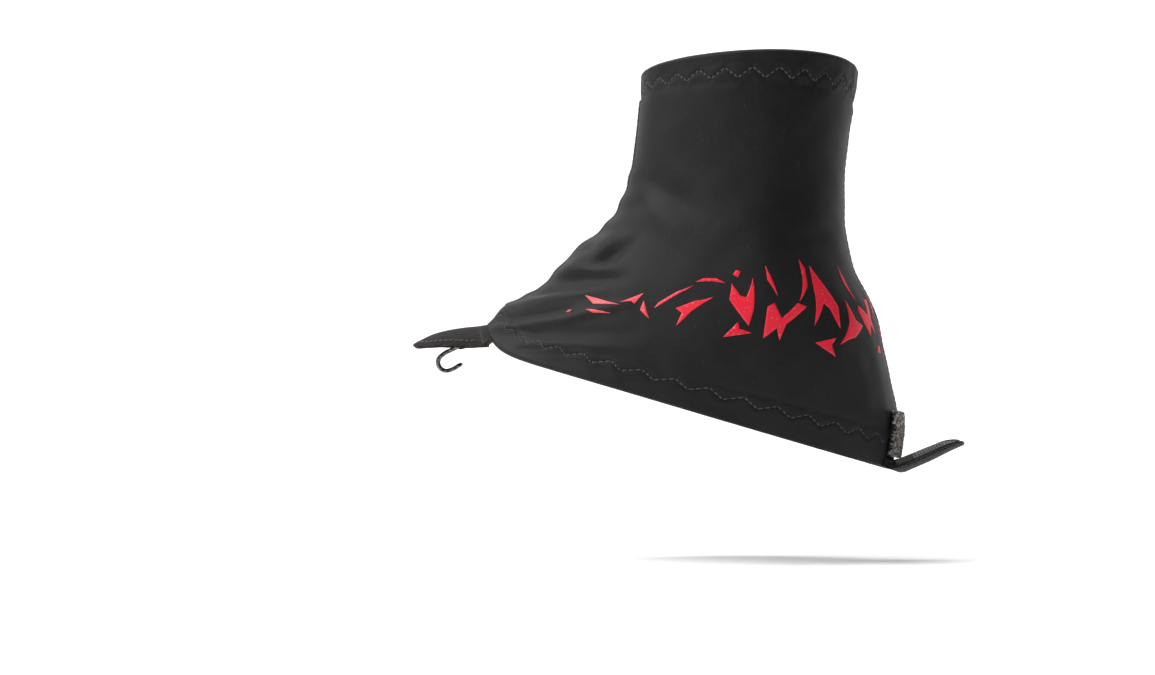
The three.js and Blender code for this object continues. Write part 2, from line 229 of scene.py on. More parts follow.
# %% Sections of the sleeve
# front x, front z, rear x, rear z, half width, egg, nose, lift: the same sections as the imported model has
STATIONS = np.array([
    [-112.5, -108.0, 60.0, -169.0, 43.0, 0.22, 1.35, 10.0],
    [-101.5, -100.5, 62.3, -148.5, 44.0, 0.22, 1.25, 6.0],
    [-87.5, -91.0, 58.0, -126.0, 43.5, 0.20, 1.12, 2.5],
    [-71.5, -76.0, 53.0, -103.5, 41.0, 0.17, 1.0, 0.8],
    [-57.0, -61.0, 43.2, -81.5, 38.5, 0.14, 1.0, 0.0],
    [-50.0, -42.5, 39.1, -54.0, 35.5, 0.12, 1.0, 0.0],
    [-46.8, -21.0, 41.2, -26.5, 36.0, 0.12, 1.0, 0.0],
    [-45.8, 0.0, 45.8, 1.0, 37.5, 0.12, 1.0, 0.0],
])
RIDGE_SPREAD = 0.45
CUFF_LEAN = 0.176
LEAN_FROM = 0.7
RISE = 145.0  # about how many mm of cloth one unit of height is
CLOTH = 0.9
GAP = 0.3
ELASTIC = 0.8
OVER_STITCH = 1.8


def smoothstep(value, low, high):
    t = np.clip((value - low) / (high - low), 0, 1)
    return t * t * (3 - 2 * t)


def section_at(height):
    """The section's eight numbers at any height from 0 to 1, by a Catmull-Rom spline."""
    last = len(STATIONS) - 1
    place = np.clip(height, 0, 1) * last
    i = np.minimum(place.astype(int), last - 1)
    t = (place - i)[..., None]
    before, start = STATIONS[np.maximum(i - 1, 0)], STATIONS[i]
    end, after = STATIONS[i + 1], STATIONS[np.minimum(i + 2, last)]
    leave, arrive = (end - before) / 2, (after - start) / 2
    cubic = 2 * start - 2 * end + leave + arrive
    square = -3 * start + 3 * end - 2 * leave - arrive
    return ((cubic * t + square) * t + leave) * t + start


def skin(turn, height):
    """Points of the sleeve's inner surface. turn goes from the front, by the outer side, right round."""
    turn, height = np.broadcast_arrays(np.asarray(turn, float), np.asarray(height, float))
    fx, fz, rx, rz, half_width, egg, nose, lift = np.moveaxis(section_at(height), -1, 0)
    back = ((1 - np.cos(turn)) / 2) ** nose
    y = -half_width * np.sin(turn) * (1 - egg * np.cos(turn))
    from_front = np.minimum(np.abs(turn), np.abs(2 * np.pi - turn))
    ridge = lift * np.exp(-((from_front / RIDGE_SPREAD) ** 2))
    lean = CUFF_LEAN * smoothstep(height, LEAN_FROM, 1)
    x = fx + (rx - fx) * back
    z = (fz - lift) + (rz - fz + lift) * back + ridge - lean * y
    return np.stack([x, y, z], -1)


def unit(vectors):
    return vectors / np.maximum(np.linalg.norm(vectors, axis=-1, keepdims=True), 1e-9)


def outward(turn, height):
    step = 2e-3
    turn, height = np.broadcast_arrays(np.asarray(turn, float), np.asarray(height, float))
    around = skin(turn + step, height) - skin(turn - step, height)
    up = skin(turn, np.minimum(height + step, 1)) - skin(turn, np.maximum(height - step, 0))
    return unit(np.cross(around, up))


def mm_per_height(turn, height):
    """How many millimetres of cloth one unit of height is, at a place."""
    step = 2e-3
    low, high = np.clip(height - step, 0, 1), np.clip(height + step, 0, 1)
    length = np.linalg.norm(skin(turn, high) - skin(turn, low), axis=-1)
    return length / (high - low)


print("front line", np.round(skin(0.0, np.linspace(0, 1, 4))[:, [0, 2]]).tolist())

# %% [markdown]
# ## Folds and stitch lines
#
# Stretch cloth is smooth where it is pulled tight and folds only where the pull changes direction: in a
# fan from the front tab, and across the front of the ankle. A cloth simulation gives folds at random, but
# these have to lie where the pull is. So each fold is drawn as a line on the side of the foot and raises
# or sinks the cloth along it, like a finger drawn through clay.

# %% Draw the folds
# Each fold: how far it stands out in mm (negative sinks in), its half width, and its points (x, z).
OUTER_FOLDS = [
    (0.9, 2.0, [(-112, -110), (-96, -108), (-81, -106), (-52, -99)]),
    (-0.9, 1.7, [(-107, -107), (-95, -104), (-76, -100.5)]),
    (0.7, 1.8, [(-103, -102), (-84, -96.5), (-62, -94)]),
    (-0.5, 2.4, [(-105, -112), (-80, -111), (-50, -111)]),
    (0.5, 2.0, [(-100, -115.5), (-78, -116), (-48, -118)]),
    (-0.6, 1.8, [(-98, -97.5), (-82, -93), (-64, -91)]),
    (1.3, 2.8, [(-57, -69), (-66, -79), (-80, -86)]),
    (-1.2, 2.6, [(-50, -71), (-58, -77.5), (-66, -82.5)]),
    (0.8, 2.4, [(-81, -87), (-70, -85), (-55, -84.5)]),
    (-0.8, 2.4, [(-85, -90), (-70, -88.5), (-53, -89)]),
    (-0.8, 6.0, [(-44, -45), (-33, -54), (-20, -65)]),
    (0.4, 5.0, [(-46, -54), (-38, -62), (-27, -70)]),
    (-0.6, 5.0, [(40, -62), (26, -72), (12, -76)]),
    (0.5, 7.0, [(48, -96), (36, -112), (30, -132)]),
    (-0.4, 6.0, [(10, -112), (-12, -124), (-34, -128)]),
]
INNER_FOLDS = [
    (1.0, 2.8, [(-112, -110), (-94, -107), (-74, -106)]),
    (-0.9, 2.4, [(-105, -105.5), (-88, -101), (-76, -100)]),
    (1.4, 3.2, [(-60, -72), (-67, -82), (-82, -87)]),
    (-1.2, 3.2, [(-52, -70), (-60, -80), (-72, -88)]),
    (-1.4, 6.0, [(-45, -50), (-31, -56), (-14, -62)]),
    (0.8, 5.0, [(-46, -60), (-30, -68), (-12, -72)]),
    (-0.6, 6.0, [(42, -60), (24, -70), (8, -72)]),
    (0.5, 7.0, [(48, -98), (38, -116), (34, -136)]),
]
ANKLE_BONE = {"place": (6, -92), "radius": 15, "out": 1.6}


def along_line(points, line):
    """How far each point (x, z) is from a line of several points, and how far along the line, 0 to 1."""
    line = np.array(line, float)
    lengths = np.linalg.norm(np.diff(line, axis=0), axis=1)
    starts = np.concatenate([[0], np.cumsum(lengths)])
    nearest = np.full(points.shape[:-1], np.inf)
    share = np.zeros(points.shape[:-1])
    for i, length in enumerate(lengths):
        way = (line[i + 1] - line[i]) / length
        run = np.clip((points - line[i]) @ way, 0, length)
        distance = np.linalg.norm(points - line[i] - run[..., None] * way, axis=-1)
        closer = distance < nearest
        nearest = np.where(closer, distance, nearest)
        share = np.where(closer, (starts[i] + run) / starts[-1], share)
    return nearest, share


FOLD_DEPTH = 1.8
# The front line stands up in soft pleats: height on the sleeve, how far out in mm, half its length in height.
FRONT_PLEATS = [
    (0.115, 2.0, 0.055),
    (0.215, 0.9, 0.03),
    (0.33, 0.8, 0.03),
    (0.43, 2.1, 0.05),
    (0.535, 1.0, 0.028),
    (0.62, 0.9, 0.028),
    (0.70, 0.6, 0.022),
]


def pleat_height(turn, height):
    """Pleats on the front line, with the crease that runs down each side of them."""
    from_front = np.minimum(turn % (2 * np.pi), -turn % (2 * np.pi))
    total = np.zeros(np.shape(turn))
    for middle, out, reach in FRONT_PLEATS:
        here = np.exp(-(((height - middle) / reach) ** 2))
        crease = 0.5 * np.exp(-(((from_front - 0.52) / 0.17) ** 2))
        total += out * here * (np.exp(-((from_front / 0.36) ** 2)) - crease)
    return total


def fold_height(points, folds):
    total = np.zeros(points.shape[:-1])
    for out, half_width, line in folds:
        distance, share = along_line(points, line)
        fade = np.sin(np.pi * np.clip(share * 0.9 + 0.05, 0, 1)) ** 0.7
        total += out * FOLD_DEPTH * fade * np.exp(-((distance / half_width) ** 2))
    return total


def ripple(points, wavelength, seed, waves=10):
    """A smooth random swell from -1 to 1: a sum of sine waves in fixed random directions."""
    random = np.random.default_rng(seed)
    directions = unit(random.normal(size=(waves, 3)))
    stretch = random.uniform(0.7, 1.5, waves)
    phases = random.uniform(0, 2 * np.pi, waves)
    angles = points @ (directions * stretch[:, None]).T * (2 * np.pi / wavelength) + phases
    return np.sin(angles).sum(-1) / math.sqrt(waves)


print(len(OUTER_FOLDS) + len(INNER_FOLDS), "folds")

# %% Zigzag stitching lines and the pucker along them
ZIGZAG = 0.011
CUFF_ROW = {"height": 0.941, "zigzags": 25}
HEM_ROW = {"height": 0.088, "zigzags": 40}
STITCHES_PER_LEG = 3


def zigzag_height(turn, row):
    """The zigzag is a triangle wave: it starts at its middle, at the front."""
    cycle = (turn / (2 * np.pi) * row["zigzags"]) % 1
    wave = np.interp(cycle, [0, 0.25, 0.75, 1], [0, 1, -1, 0])
    return row["height"] + ZIGZAG * wave


def needle_turns(row):
    """The turn of every needle hole: three stitches to each leg of the zigzag, between its points."""
    legs = row["zigzags"] * 2
    count = legs * STITCHES_PER_LEG
    return (np.arange(count + 1) / count * legs + 0.5) / legs * 2 * np.pi


def pucker(turn, height, row):
    """Each stitch pulls the cloth in along the line, and it swells a little between lines of holes."""
    from_line = (height - zigzag_height(turn, row)) * RISE
    holes = row["zigzags"] * 2 * STITCHES_PER_LEG
    beat = 0.5 + 0.5 * np.cos((turn / (2 * np.pi) * holes - 0.5 * STITCHES_PER_LEG) * 2 * np.pi)
    pull = -(0.16 + 0.22 * beat) * np.exp(-((from_line / 0.75) ** 2))
    swell = 0.13 * np.exp(-((np.abs(from_line) - 2.1) ** 2) / 1.4)
    return pull + swell


def drape(turn, height):
    """How far the cloth stands off the plain surface, in mm."""
    turn, height = np.broadcast_arrays(np.asarray(turn, float), np.asarray(height, float))
    height = np.clip(height, 0, 1)
    points = skin(turn, height)
    side_view = points[..., [0, 2]]
    outer = fold_height(side_view, OUTER_FOLDS)
    inner = fold_height(side_view, INNER_FOLDS)
    to_inner = smoothstep(points[..., 1], -7, 7)
    folds = outer * (1 - to_inner) + inner * to_inner + pleat_height(turn, height)
    bone = np.linalg.norm(side_view - ANKLE_BONE["place"], axis=-1) / ANKLE_BONE["radius"]
    swell = ANKLE_BONE["out"] * np.exp(-(bone**2))
    calm = smoothstep(height, 0.0, 0.05) * smoothstep(1 - height, 0.0, 0.05)
    soft = 0.32 * ripple(points, 46, 3) + 0.10 * ripple(points, 14, 5)
    gathers = 0.10 * ripple(points * [1, 1, 0.25], 7.5, 8)
    band = smoothstep(0.12 - height, 0, 0.03) + smoothstep(height - 0.915, 0, 0.02)
    cuff_crease = -0.32 * np.exp(-(((height - 0.922) * RISE / 1.3) ** 2))
    hem_crease = -0.22 * np.exp(-(((height - 0.113) * RISE / 1.4) ** 2))
    stitching = pucker(turn, height, CUFF_ROW) + pucker(turn, height, HEM_ROW)
    return (folds + swell + soft) * calm + gathers * band + cuff_crease + hem_crease + stitching


def on_cloth(turn, height, offset):
    """A point at an offset from the sleeve's inner surface, folds included."""
    return skin(turn, height) + outward(turn, height) * (offset + drape(turn, height))[..., None]


def turn_at(y, height, at_heel):
    """The turn from the front, or the heel, that is a distance of y to the outer side."""
    section = section_at(np.asarray(height, float))
    egg = section[..., 5] if at_heel else -section[..., 5]
    return y / (section[..., 4] * (1 + egg))


sampled = drape(np.linspace(0, 2 * np.pi, 400)[:, None], np.linspace(0, 1, 200))
print("folds from", round(float(sampled.min()), 2), "to", round(float(sampled.max()), 2), "mm")

# %% [markdown]
# ## Cloth, thread and the other finishes
#
# Most of this object is black on black, so its finishes differ in how they catch light: the knit has a
# soft sheen, the thread a small gloss, the suede none. Patterns that several finishes share are node
# groups with their own inputs. Each takes the cloth's own coordinates in millimetres, which every mesh
# carries as a named attribute, so the threads keep their real size and follow the cloth round every fold.

# %% Pattern groups
def new_group(name, inputs, outputs):
    """A shader node group with float inputs, given as name: default, and its output sockets."""
    group = bpy.data.node_groups.new(name, "ShaderNodeTree")
    for socket, value in inputs.items():
        made = group.interface.new_socket(name=socket, in_out="INPUT", socket_type="NodeSocketFloat")
        made.default_value = value
    for socket, kind in outputs.items():
        group.interface.new_socket(name=socket, in_out="OUTPUT", socket_type=kind)
    return group, group.nodes.new("NodeGroupInput"), group.nodes.new("NodeGroupOutput")


FLOAT = "NodeSocketFloat"


def cloth_coordinates(tree):
    """The cloth's own x, across, and y, along, in millimetres."""
    attribute = add_node(tree, "ShaderNodeAttribute", attribute_name="cloth_mm")
    split = add_node(tree, "ShaderNodeSeparateXYZ", inputs={0: attribute.outputs["Vector"]})
    return attribute.outputs["Vector"], split.outputs[0], split.outputs[1]


def build_knit():
    """Columns of V-shaped loops, as on the face of a fine jersey."""
    group, given, result = new_group("knit", {"Pitch": 0.55}, {"Height": FLOAT})
    _, across, along = cloth_coordinates(group)
    column = math_node(group, "DIVIDE", across, given.outputs["Pitch"])
    course = math_node(group, "DIVIDE", along, given.outputs["Pitch"])
    in_column = math_node(group, "FRACT", column)
    from_middle = math_node(group, "ABSOLUTE", math_node(group, "SUBTRACT", in_column, 0.5))
    leaning = math_node(group, "ADD", course, math_node(group, "MULTIPLY", from_middle, 1.6))
    loop = math_node(group, "SINE", math_node(group, "MULTIPLY", leaning, 2 * math.pi))
    rib = math_node(group, "SINE", math_node(group, "MULTIPLY", in_column, math.pi))
    height = math_node(group, "MULTIPLY", math_node(group, "ADD", loop, 1.5), rib)
    group.links.new(height, result.inputs["Height"])
    return group


def build_weave():
    """Over-and-under threads, as in webbing, tape and satin."""
    inputs = {"Across pitch": 1.0, "Along pitch": 0.6}
    group, given, result = new_group("weave", inputs, {"Height": FLOAT, "Gaps": FLOAT})
    _, across, along = cloth_coordinates(group)
    u = math_node(group, "DIVIDE", across, given.outputs["Across pitch"])
    v = math_node(group, "DIVIDE", along, given.outputs["Along pitch"])
    warp = math_node(group, "ABSOLUTE", math_node(group, "SINE", math_node(group, "MULTIPLY", u, math.pi)))
    weft = math_node(group, "ABSOLUTE", math_node(group, "SINE", math_node(group, "MULTIPLY", v, math.pi)))
    cells = math_node(group, "ADD", math_node(group, "FLOOR", u), math_node(group, "FLOOR", v))
    over = math_node(group, "PINGPONG", cells, 1.0)
    under = math_node(group, "SUBTRACT", 1.0, over)
    height = math_node(
        group, "ADD", math_node(group, "MULTIPLY", warp, over), math_node(group, "MULTIPLY", weft, under)
    )
    group.links.new(height, result.inputs["Height"])
    group.links.new(math_node(group, "SUBTRACT", 1.0, height, clamp=True), result.inputs["Gaps"])
    return group


def build_mottle():
    """Uneven dye and handling marks: large soft patches and fine grain, both from 0 to 1."""
    inputs = {"Patch scale": 60.0, "Grain scale": 900.0}
    group, given, result = new_group("mottle", inputs, {"Patches": FLOAT, "Grain": FLOAT})
    place = add_node(group, "ShaderNodeTexCoord").outputs["Object"]
    for name, scale, detail in (("Patches", "Patch scale", 3.0), ("Grain", "Grain scale", 2.0)):
        noise = add_node(group, "ShaderNodeTexNoise", inputs={"Vector": place, "Detail": detail})
        group.links.new(given.outputs[scale], noise.inputs["Scale"])
        group.links.new(noise.outputs["Fac"], result.inputs[name])
    return group


def build_edge_wear():
    """Where an edge stands proud, its finish is rubbed. The noise breaks the line up."""
    group, given, result = new_group("edge_wear", {"Amount": 0.5, "Breakup scale": 400.0}, {"Mask": FLOAT})
    pointiness = add_node(group, "ShaderNodeNewGeometry").outputs["Pointiness"]
    edge = ramp(group, pointiness, (0.50, 0.0), (0.58, 1.0))
    place = add_node(group, "ShaderNodeTexCoord").outputs["Object"]
    noise = add_node(group, "ShaderNodeTexNoise", inputs={"Vector": place, "Detail": 4.0})
    group.links.new(given.outputs["Breakup scale"], noise.inputs["Scale"])
    broken = ramp(group, noise.outputs["Fac"], (0.38, 0.0), (0.62, 1.0))
    mask = math_node(group, "MULTIPLY", math_node(group, "MULTIPLY", edge, broken), given.outputs["Amount"])
    group.links.new(mask, result.inputs["Mask"])
    return group


def build_lint():
    """Short pale fibres and dust that black cloth picks up: thin flecks, sparse."""
    group, given, result = new_group("lint", {"Amount": 0.3, "Scale": 700.0}, {"Mask": FLOAT})
    place = add_node(group, "ShaderNodeTexCoord").outputs["Object"]
    stretch = add_node(group, "ShaderNodeMapping", inputs={"Vector": place, "Scale": (1.0, 1.0, 0.35)})
    noise = add_node(group, "ShaderNodeTexNoise", inputs={"Vector": stretch.outputs[0], "Detail": 2.0})
    group.links.new(given.outputs["Scale"], noise.inputs["Scale"])
    flecks = ramp(group, noise.outputs["Fac"], (0.70, 0.0), (0.76, 1.0))
    group.links.new(math_node(group, "MULTIPLY", flecks, given.outputs["Amount"]), result.inputs["Mask"])
    return group


PATTERNS = {
    "knit": build_knit(),
    "weave": build_weave(),
    "mottle": build_mottle(),
    "edge_wear": build_edge_wear(),
    "lint": build_lint(),
}


def pattern(material, name, **values):
    """Places a pattern group in a material with its own values."""
    node = add_node(material.node_tree, "ShaderNodeGroup", node_tree=PATTERNS[name])
    for socket, value in values.items():
        node.inputs[socket.replace("_", " ")].default_value = value
    return node.outputs


print("patterns:", ", ".join(PATTERNS))


# %% Stretch cloth
def mottled(material, dark, light, share=1.0, **scales):
    """Base colour between two tones by the mottle's patches and grain, which it gives back."""
    tree = material.node_tree
    marks = pattern(material, "mottle", **scales)
    even = math_node(tree, "ADD", marks["Patches"], math_node(tree, "MULTIPLY", marks["Grain"], 0.6))
    spread = ramp(tree, math_node(tree, "MULTIPLY", even, 0.62), (0.32, 0.0), (0.68, share))
    return mix_colors(tree, spread, dark, light), marks


def build_stretch_cloth():
    gloss = {"Sheen_Weight": 0.04, "Sheen_Roughness": 0.4, "Specular_IOR_Level": 0.16}
    material = new_material("stretch_knit", (0.006, 0.006, 0.0065), 0.6, **gloss)
    tree = material.node_tree
    color, marks = mottled(material, (0.0042, 0.0042, 0.0045), (0.0078, 0.0078, 0.0083), Patch_scale=34.0)
    lint = pattern(material, "lint", Amount=0.22, Scale=900.0)["Mask"]
    connect(material, "Base Color", mix_colors(tree, lint, color, (0.06, 0.06, 0.06)))
    rough = math_node(tree, "ADD", 0.46, math_node(tree, "MULTIPLY", marks["Patches"], 0.16))
    connect(material, "Roughness", rough)
    knit = pattern(material, "knit", Pitch=0.55)["Height"]
    height = math_node(tree, "ADD", knit, math_node(tree, "MULTIPLY", marks["Grain"], 1.2))
    add_bump(material, height, 0.00004, 0.55)
    return material


stretch_cloth = build_stretch_cloth()
print(stretch_cloth.name)


# %% Thread, webbing, tape and label
def build_thread():
    material = new_material("sewing_thread", (0.01, 0.01, 0.011), 0.42, Sheen_Weight=0.3)
    color, marks = mottled(material, (0.007, 0.007, 0.0075), (0.030, 0.030, 0.031), Patch_scale=500.0)
    connect(material, "Base Color", color)
    add_bump(material, marks["Grain"], 0.00006, 0.8)
    return material


def build_woven(name, dark, light, roughness, across, along, relief, **shader):
    material = new_material(name, dark, roughness, **shader)
    tree = material.node_tree
    color, marks = mottled(material, dark, light, Patch_scale=80.0)
    woven = pattern(material, "weave", Across_pitch=across, Along_pitch=along)
    shaded = mix_colors(tree, math_node(tree, "MULTIPLY", woven["Gaps"], 0.7), color, [c * 0.3 for c in dark])
    lint = pattern(material, "lint", Amount=0.22, Scale=1100.0)["Mask"]
    connect(material, "Base Color", mix_colors(tree, lint, shaded, (0.09, 0.09, 0.09)))
    rough = math_node(tree, "ADD", roughness - 0.06, math_node(tree, "MULTIPLY", marks["Grain"], 0.14))
    connect(material, "Roughness", rough)
    add_bump(material, woven["Height"], relief, 0.9)
    return material


thread = build_thread()
webbing = build_woven(
    "tape_webbing", (0.0045, 0.0045, 0.0048), (0.011, 0.011, 0.0115), 0.62,
    across=1.3, along=0.7, relief=0.00022, Specular_IOR_Level=0.22,
)
elastic_web = build_woven(
    "braided_elastic", (0.010, 0.010, 0.011), (0.022, 0.022, 0.024), 0.8, across=0.9, along=1.6, relief=0.0002
)
satin = build_woven(
    "satin_label", (0.030, 0.030, 0.032), (0.050, 0.050, 0.052), 0.38, across=0.25, along=1.1, relief=0.00003
)
print(thread.name, webbing.name, elastic_web.name, satin.name)


# %% Suede, loop tape, hook tape, print and wire
def build_suede():
    """Short nap: speckled, matt, with rubbed edges where the brown shows."""
    material = new_material("suede_nap", (0.02, 0.018, 0.017), 0.92, Sheen_Weight=0.05, Sheen_Roughness=0.6,
                            Specular_IOR_Level=0.16)
    tree = material.node_tree
    color, marks = mottled(material, (0.0032, 0.0028, 0.0027), (0.014, 0.011, 0.010), Patch_scale=260.0)
    wear = pattern(material, "edge_wear", Amount=0.55, Breakup_scale=700.0)["Mask"]
    connect(material, "Base Color", mix_colors(tree, wear, color, (0.085, 0.070, 0.060)))
    height = math_node(tree, "ADD", marks["Grain"], math_node(tree, "MULTIPLY", marks["Patches"], 0.6))
    add_bump(material, height, 0.00035, 0.8)
    return material


def build_loop_fibre():
    """Each fibre carries its own painted highlight: a pale tint, strongest in the tufts, for light caught on
    the loops.
    """
    material = new_material("loop_fibre", (0.05, 0.045, 0.04), 0.75, Sheen_Weight=0.5)
    tree = material.node_tree
    tint = add_node(tree, "ShaderNodeAttribute", attribute_name="fibre_tint").outputs["Fac"]
    connect(material, "Base Color", mix_colors(tree, tint, (0.014, 0.012, 0.011), (0.62, 0.55, 0.49)))
    grain = pattern(material, "mottle", Grain_scale=2500.0)["Grain"]
    add_bump(material, grain, 0.00005, 0.6)
    return material


def build_hook_plastic():
    material = new_material("hook_nylon", (0.015, 0.015, 0.016), 0.38, Subsurface_Weight=0.05)
    color, marks = mottled(material, (0.010, 0.010, 0.011), (0.024, 0.024, 0.026), Patch_scale=200.0)
    connect(material, "Base Color", color)
    add_bump(material, marks["Grain"], 0.00004, 0.5)
    return material


def build_print_film():
    """Heat-set film: even red, pale where stretched thin and where a sheen is painted, with fine crazing."""
    material = new_material("print_film", (0.6, 0.01, 0.03), 0.48, Specular_IOR_Level=0.35)
    tree = material.node_tree
    marks = pattern(material, "mottle", Patch_scale=42.0, Grain_scale=1400.0)
    # the film is paler towards the band's ends: partly stretched thin, partly painted sheen
    wear = add_node(tree, "ShaderNodeAttribute", attribute_name="print_wear").outputs["Fac"]
    rough_edge = math_node(tree, "ADD", wear, math_node(tree, "MULTIPLY", marks["Patches"], 0.55))
    thin = ramp(tree, rough_edge, (0.48, 0.0), (0.95, 0.85))
    red = mix_colors(tree, thin, (0.64, 0.007, 0.028), (0.66, 0.095, 0.105))
    # pale specks, more of them towards the band's ends: partly faded film, partly painted sheen
    pale_speck_and_sheen = ramp(tree, math_node(tree, "ADD", marks["Grain"], math_node(tree, "MULTIPLY", wear, 0.12)),
                 (0.66, 0.0), (0.74, 0.7))
    connect(material, "Base Color", mix_colors(tree, pale_speck_and_sheen, red, (0.60, 0.28, 0.27)))
    craze = add_node(tree, "ShaderNodeTexVoronoi", feature="DISTANCE_TO_EDGE", inputs={"Scale": 900.0})
    height = math_node(tree, "ADD", craze.outputs["Distance"], marks["Grain"])
    add_bump(material, height, 0.00005, 0.5)
    return material


def build_black_wire():
    """Blackened steel: a dark coat, rubbed to bare metal on the outside of its bends."""
    material = new_material("blackened_wire", (0.03, 0.03, 0.032), 0.32, Metallic=1.0)
    tree = material.node_tree
    color, marks = mottled(material, (0.020, 0.020, 0.022), (0.060, 0.060, 0.064), Patch_scale=350.0)
    wear = pattern(material, "edge_wear", Amount=0.8, Breakup_scale=900.0)["Mask"]
    connect(material, "Base Color", mix_colors(tree, wear, color, (0.42, 0.41, 0.40)))
    rough = math_node(tree, "ADD", 0.24, math_node(tree, "MULTIPLY", marks["Grain"], 0.2))
    connect(material, "Roughness", rough)
    add_bump(material, marks["Grain"], 0.00004, 0.5)
    return material


suede = build_suede()
loop_fibre = build_loop_fibre()
hook_plastic = build_hook_plastic()
print_film = build_print_film()
black_wire = build_black_wire()
print(suede.name, loop_fibre.name, hook_plastic.name, print_film.name, black_wire.name)

# %% [markdown]
# ## Turning grids of points into pieces
#
# A layer of cloth is a thin closed shell: an outside and an inside face on the same grid, joined round
# the edge. Building it from arrays is quicker than a modifier, and it leaves each corner with its place
# on the cloth.


# %% Mesh helpers
def facing_out(vertices, faces):
    """The same faces, each turned over if together they enclose a negative volume."""
    fan = np.array([(face[0], face[i], face[i + 1]) for face in faces for i in range(1, len(face) - 1)])
    a, b, c = (vertices[fan[:, k]] for k in range(3))
    inside_out = np.einsum("ij,ij->", a, np.cross(b, c)) < 0
    return [face[::-1] for face in faces] if inside_out else faces


def make_piece(name, vertices, faces, material, body, slot, **attributes):
    """A mesh in the row frame, from millimetres, that rides on a body. Attributes are per vertex."""
    mesh = bpy.data.meshes.new(name)
    vertices = np.asarray(vertices) * MM
    faces = facing_out(vertices, [list(map(int, face)) for face in faces])
    mesh.from_pydata(vertices.tolist(), [], faces)
    for key, values in attributes.items():
        values = np.asarray(values, np.float32)
        kind = "FLOAT" if values.ndim == 1 else "FLOAT_VECTOR"
        made = mesh.attributes.new(key, kind, "POINT")
        made.data.foreach_set("value" if values.ndim == 1 else "vector", values.ravel())
    mesh.shade_smooth()
    mesh.materials.append(material)
    piece = bpy.data.objects.new(name, mesh)
    bpy.context.scene.collection.objects.link(piece)
    if body:
        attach(piece, body)
    return piece


def shell_faces(rows, columns, wraps=False):
    """Quads of a closed shell: the outside grid first, then the inside one, then the edges that join them."""
    front = np.arange(rows * columns).reshape(rows, columns)
    back = front + rows * columns
    if wraps:
        front, back = (np.concatenate([g, g[:1]]) for g in (front, back))

    def quads(a, b, c, d):
        return np.stack([a, b, c, d], -1).reshape(-1, 4)

    parts = [
        quads(front[:-1, :-1], front[1:, :-1], front[1:, 1:], front[:-1, 1:]),
        quads(back[:-1, :-1], back[:-1, 1:], back[1:, 1:], back[1:, :-1]),
        quads(front[1:, 0], front[:-1, 0], back[:-1, 0], back[1:, 0]),
        quads(front[:-1, -1], front[1:, -1], back[1:, -1], back[:-1, -1]),
    ]
    if not wraps:
        parts += [
            quads(front[0, :-1], front[0, 1:], back[0, 1:], back[0, :-1]),
            quads(front[-1, 1:], front[-1, :-1], back[-1, :-1], back[-1, 1:]),
        ]
    return np.concatenate(parts)


def shell_piece(name, front, back, cloth_mm, material, body, slot, wraps=False):
    """A closed shell between two grids of points. cloth_mm is each grid point's place on the flat cloth."""
    rows, columns = front.shape[:2]
    vertices = np.concatenate([front.reshape(-1, 3), back.reshape(-1, 3)])
    flat = np.zeros((rows * columns, 3))
    flat[:, :2] = cloth_mm.reshape(-1, 2)
    faces = shell_faces(rows, columns, wraps)
    return make_piece(name, vertices, faces, material, body, slot, cloth_mm=np.concatenate([flat, flat]))


def grid_lengths(points):
    """Distances across and along a grid of points, from its first row and column, in mm."""
    across = np.linalg.norm(np.diff(points, axis=0), axis=-1).cumsum(0)
    along = np.linalg.norm(np.diff(points, axis=1), axis=-1).cumsum(1)
    across = np.concatenate([np.zeros((1, points.shape[1])), across])
    along = np.concatenate([np.zeros((points.shape[0], 1)), along], 1)
    return np.stack([across, along], -1)


def mesh_area(piece):
    return sum(polygon.area for polygon in piece.data.polygons)


print("helpers ready")

# %% [markdown]
# ## The two panels of the sleeve
#
# Each panel is one sheet that runs from the turned hem at the bottom, up the foot and leg, to the turned
# cuff. At both edges the cloth bends round through half a circle and goes on as the facing inside. The
# grid is finest in the two stitched bands, so that every needle hole can dimple the cloth.

# %% Sheet path of a panel
BEND = (CLOTH + 2 * GAP + ELASTIC + CLOTH) / 2 - 0.45  # radius of the sheet's middle where it turns in
BEND_STEPS = 7


def wall_heights():
    """Rows of the grid: about 0.45 mm apart in the stitched bands, and 1 mm elsewhere."""
    low, high = BEND / RISE, 1 - BEND / RISE
    spots = np.linspace(0, 1, 3001)
    from_hem_row, from_cuff_row = (np.abs(spots - row["height"]) for row in (HEM_ROW, CUFF_ROW))
    distance = np.minimum(from_hem_row, from_cuff_row) * RISE
    density = 1.0 + 1.3 * np.exp(-((distance / 4.5) ** 4))
    reach = np.concatenate([[0], np.cumsum(density[:-1] / 3000)])
    rows = np.linspace(0, reach[-1], int(reach[-1] * 150))
    return low + (high - low) * np.interp(rows, reach, spots)


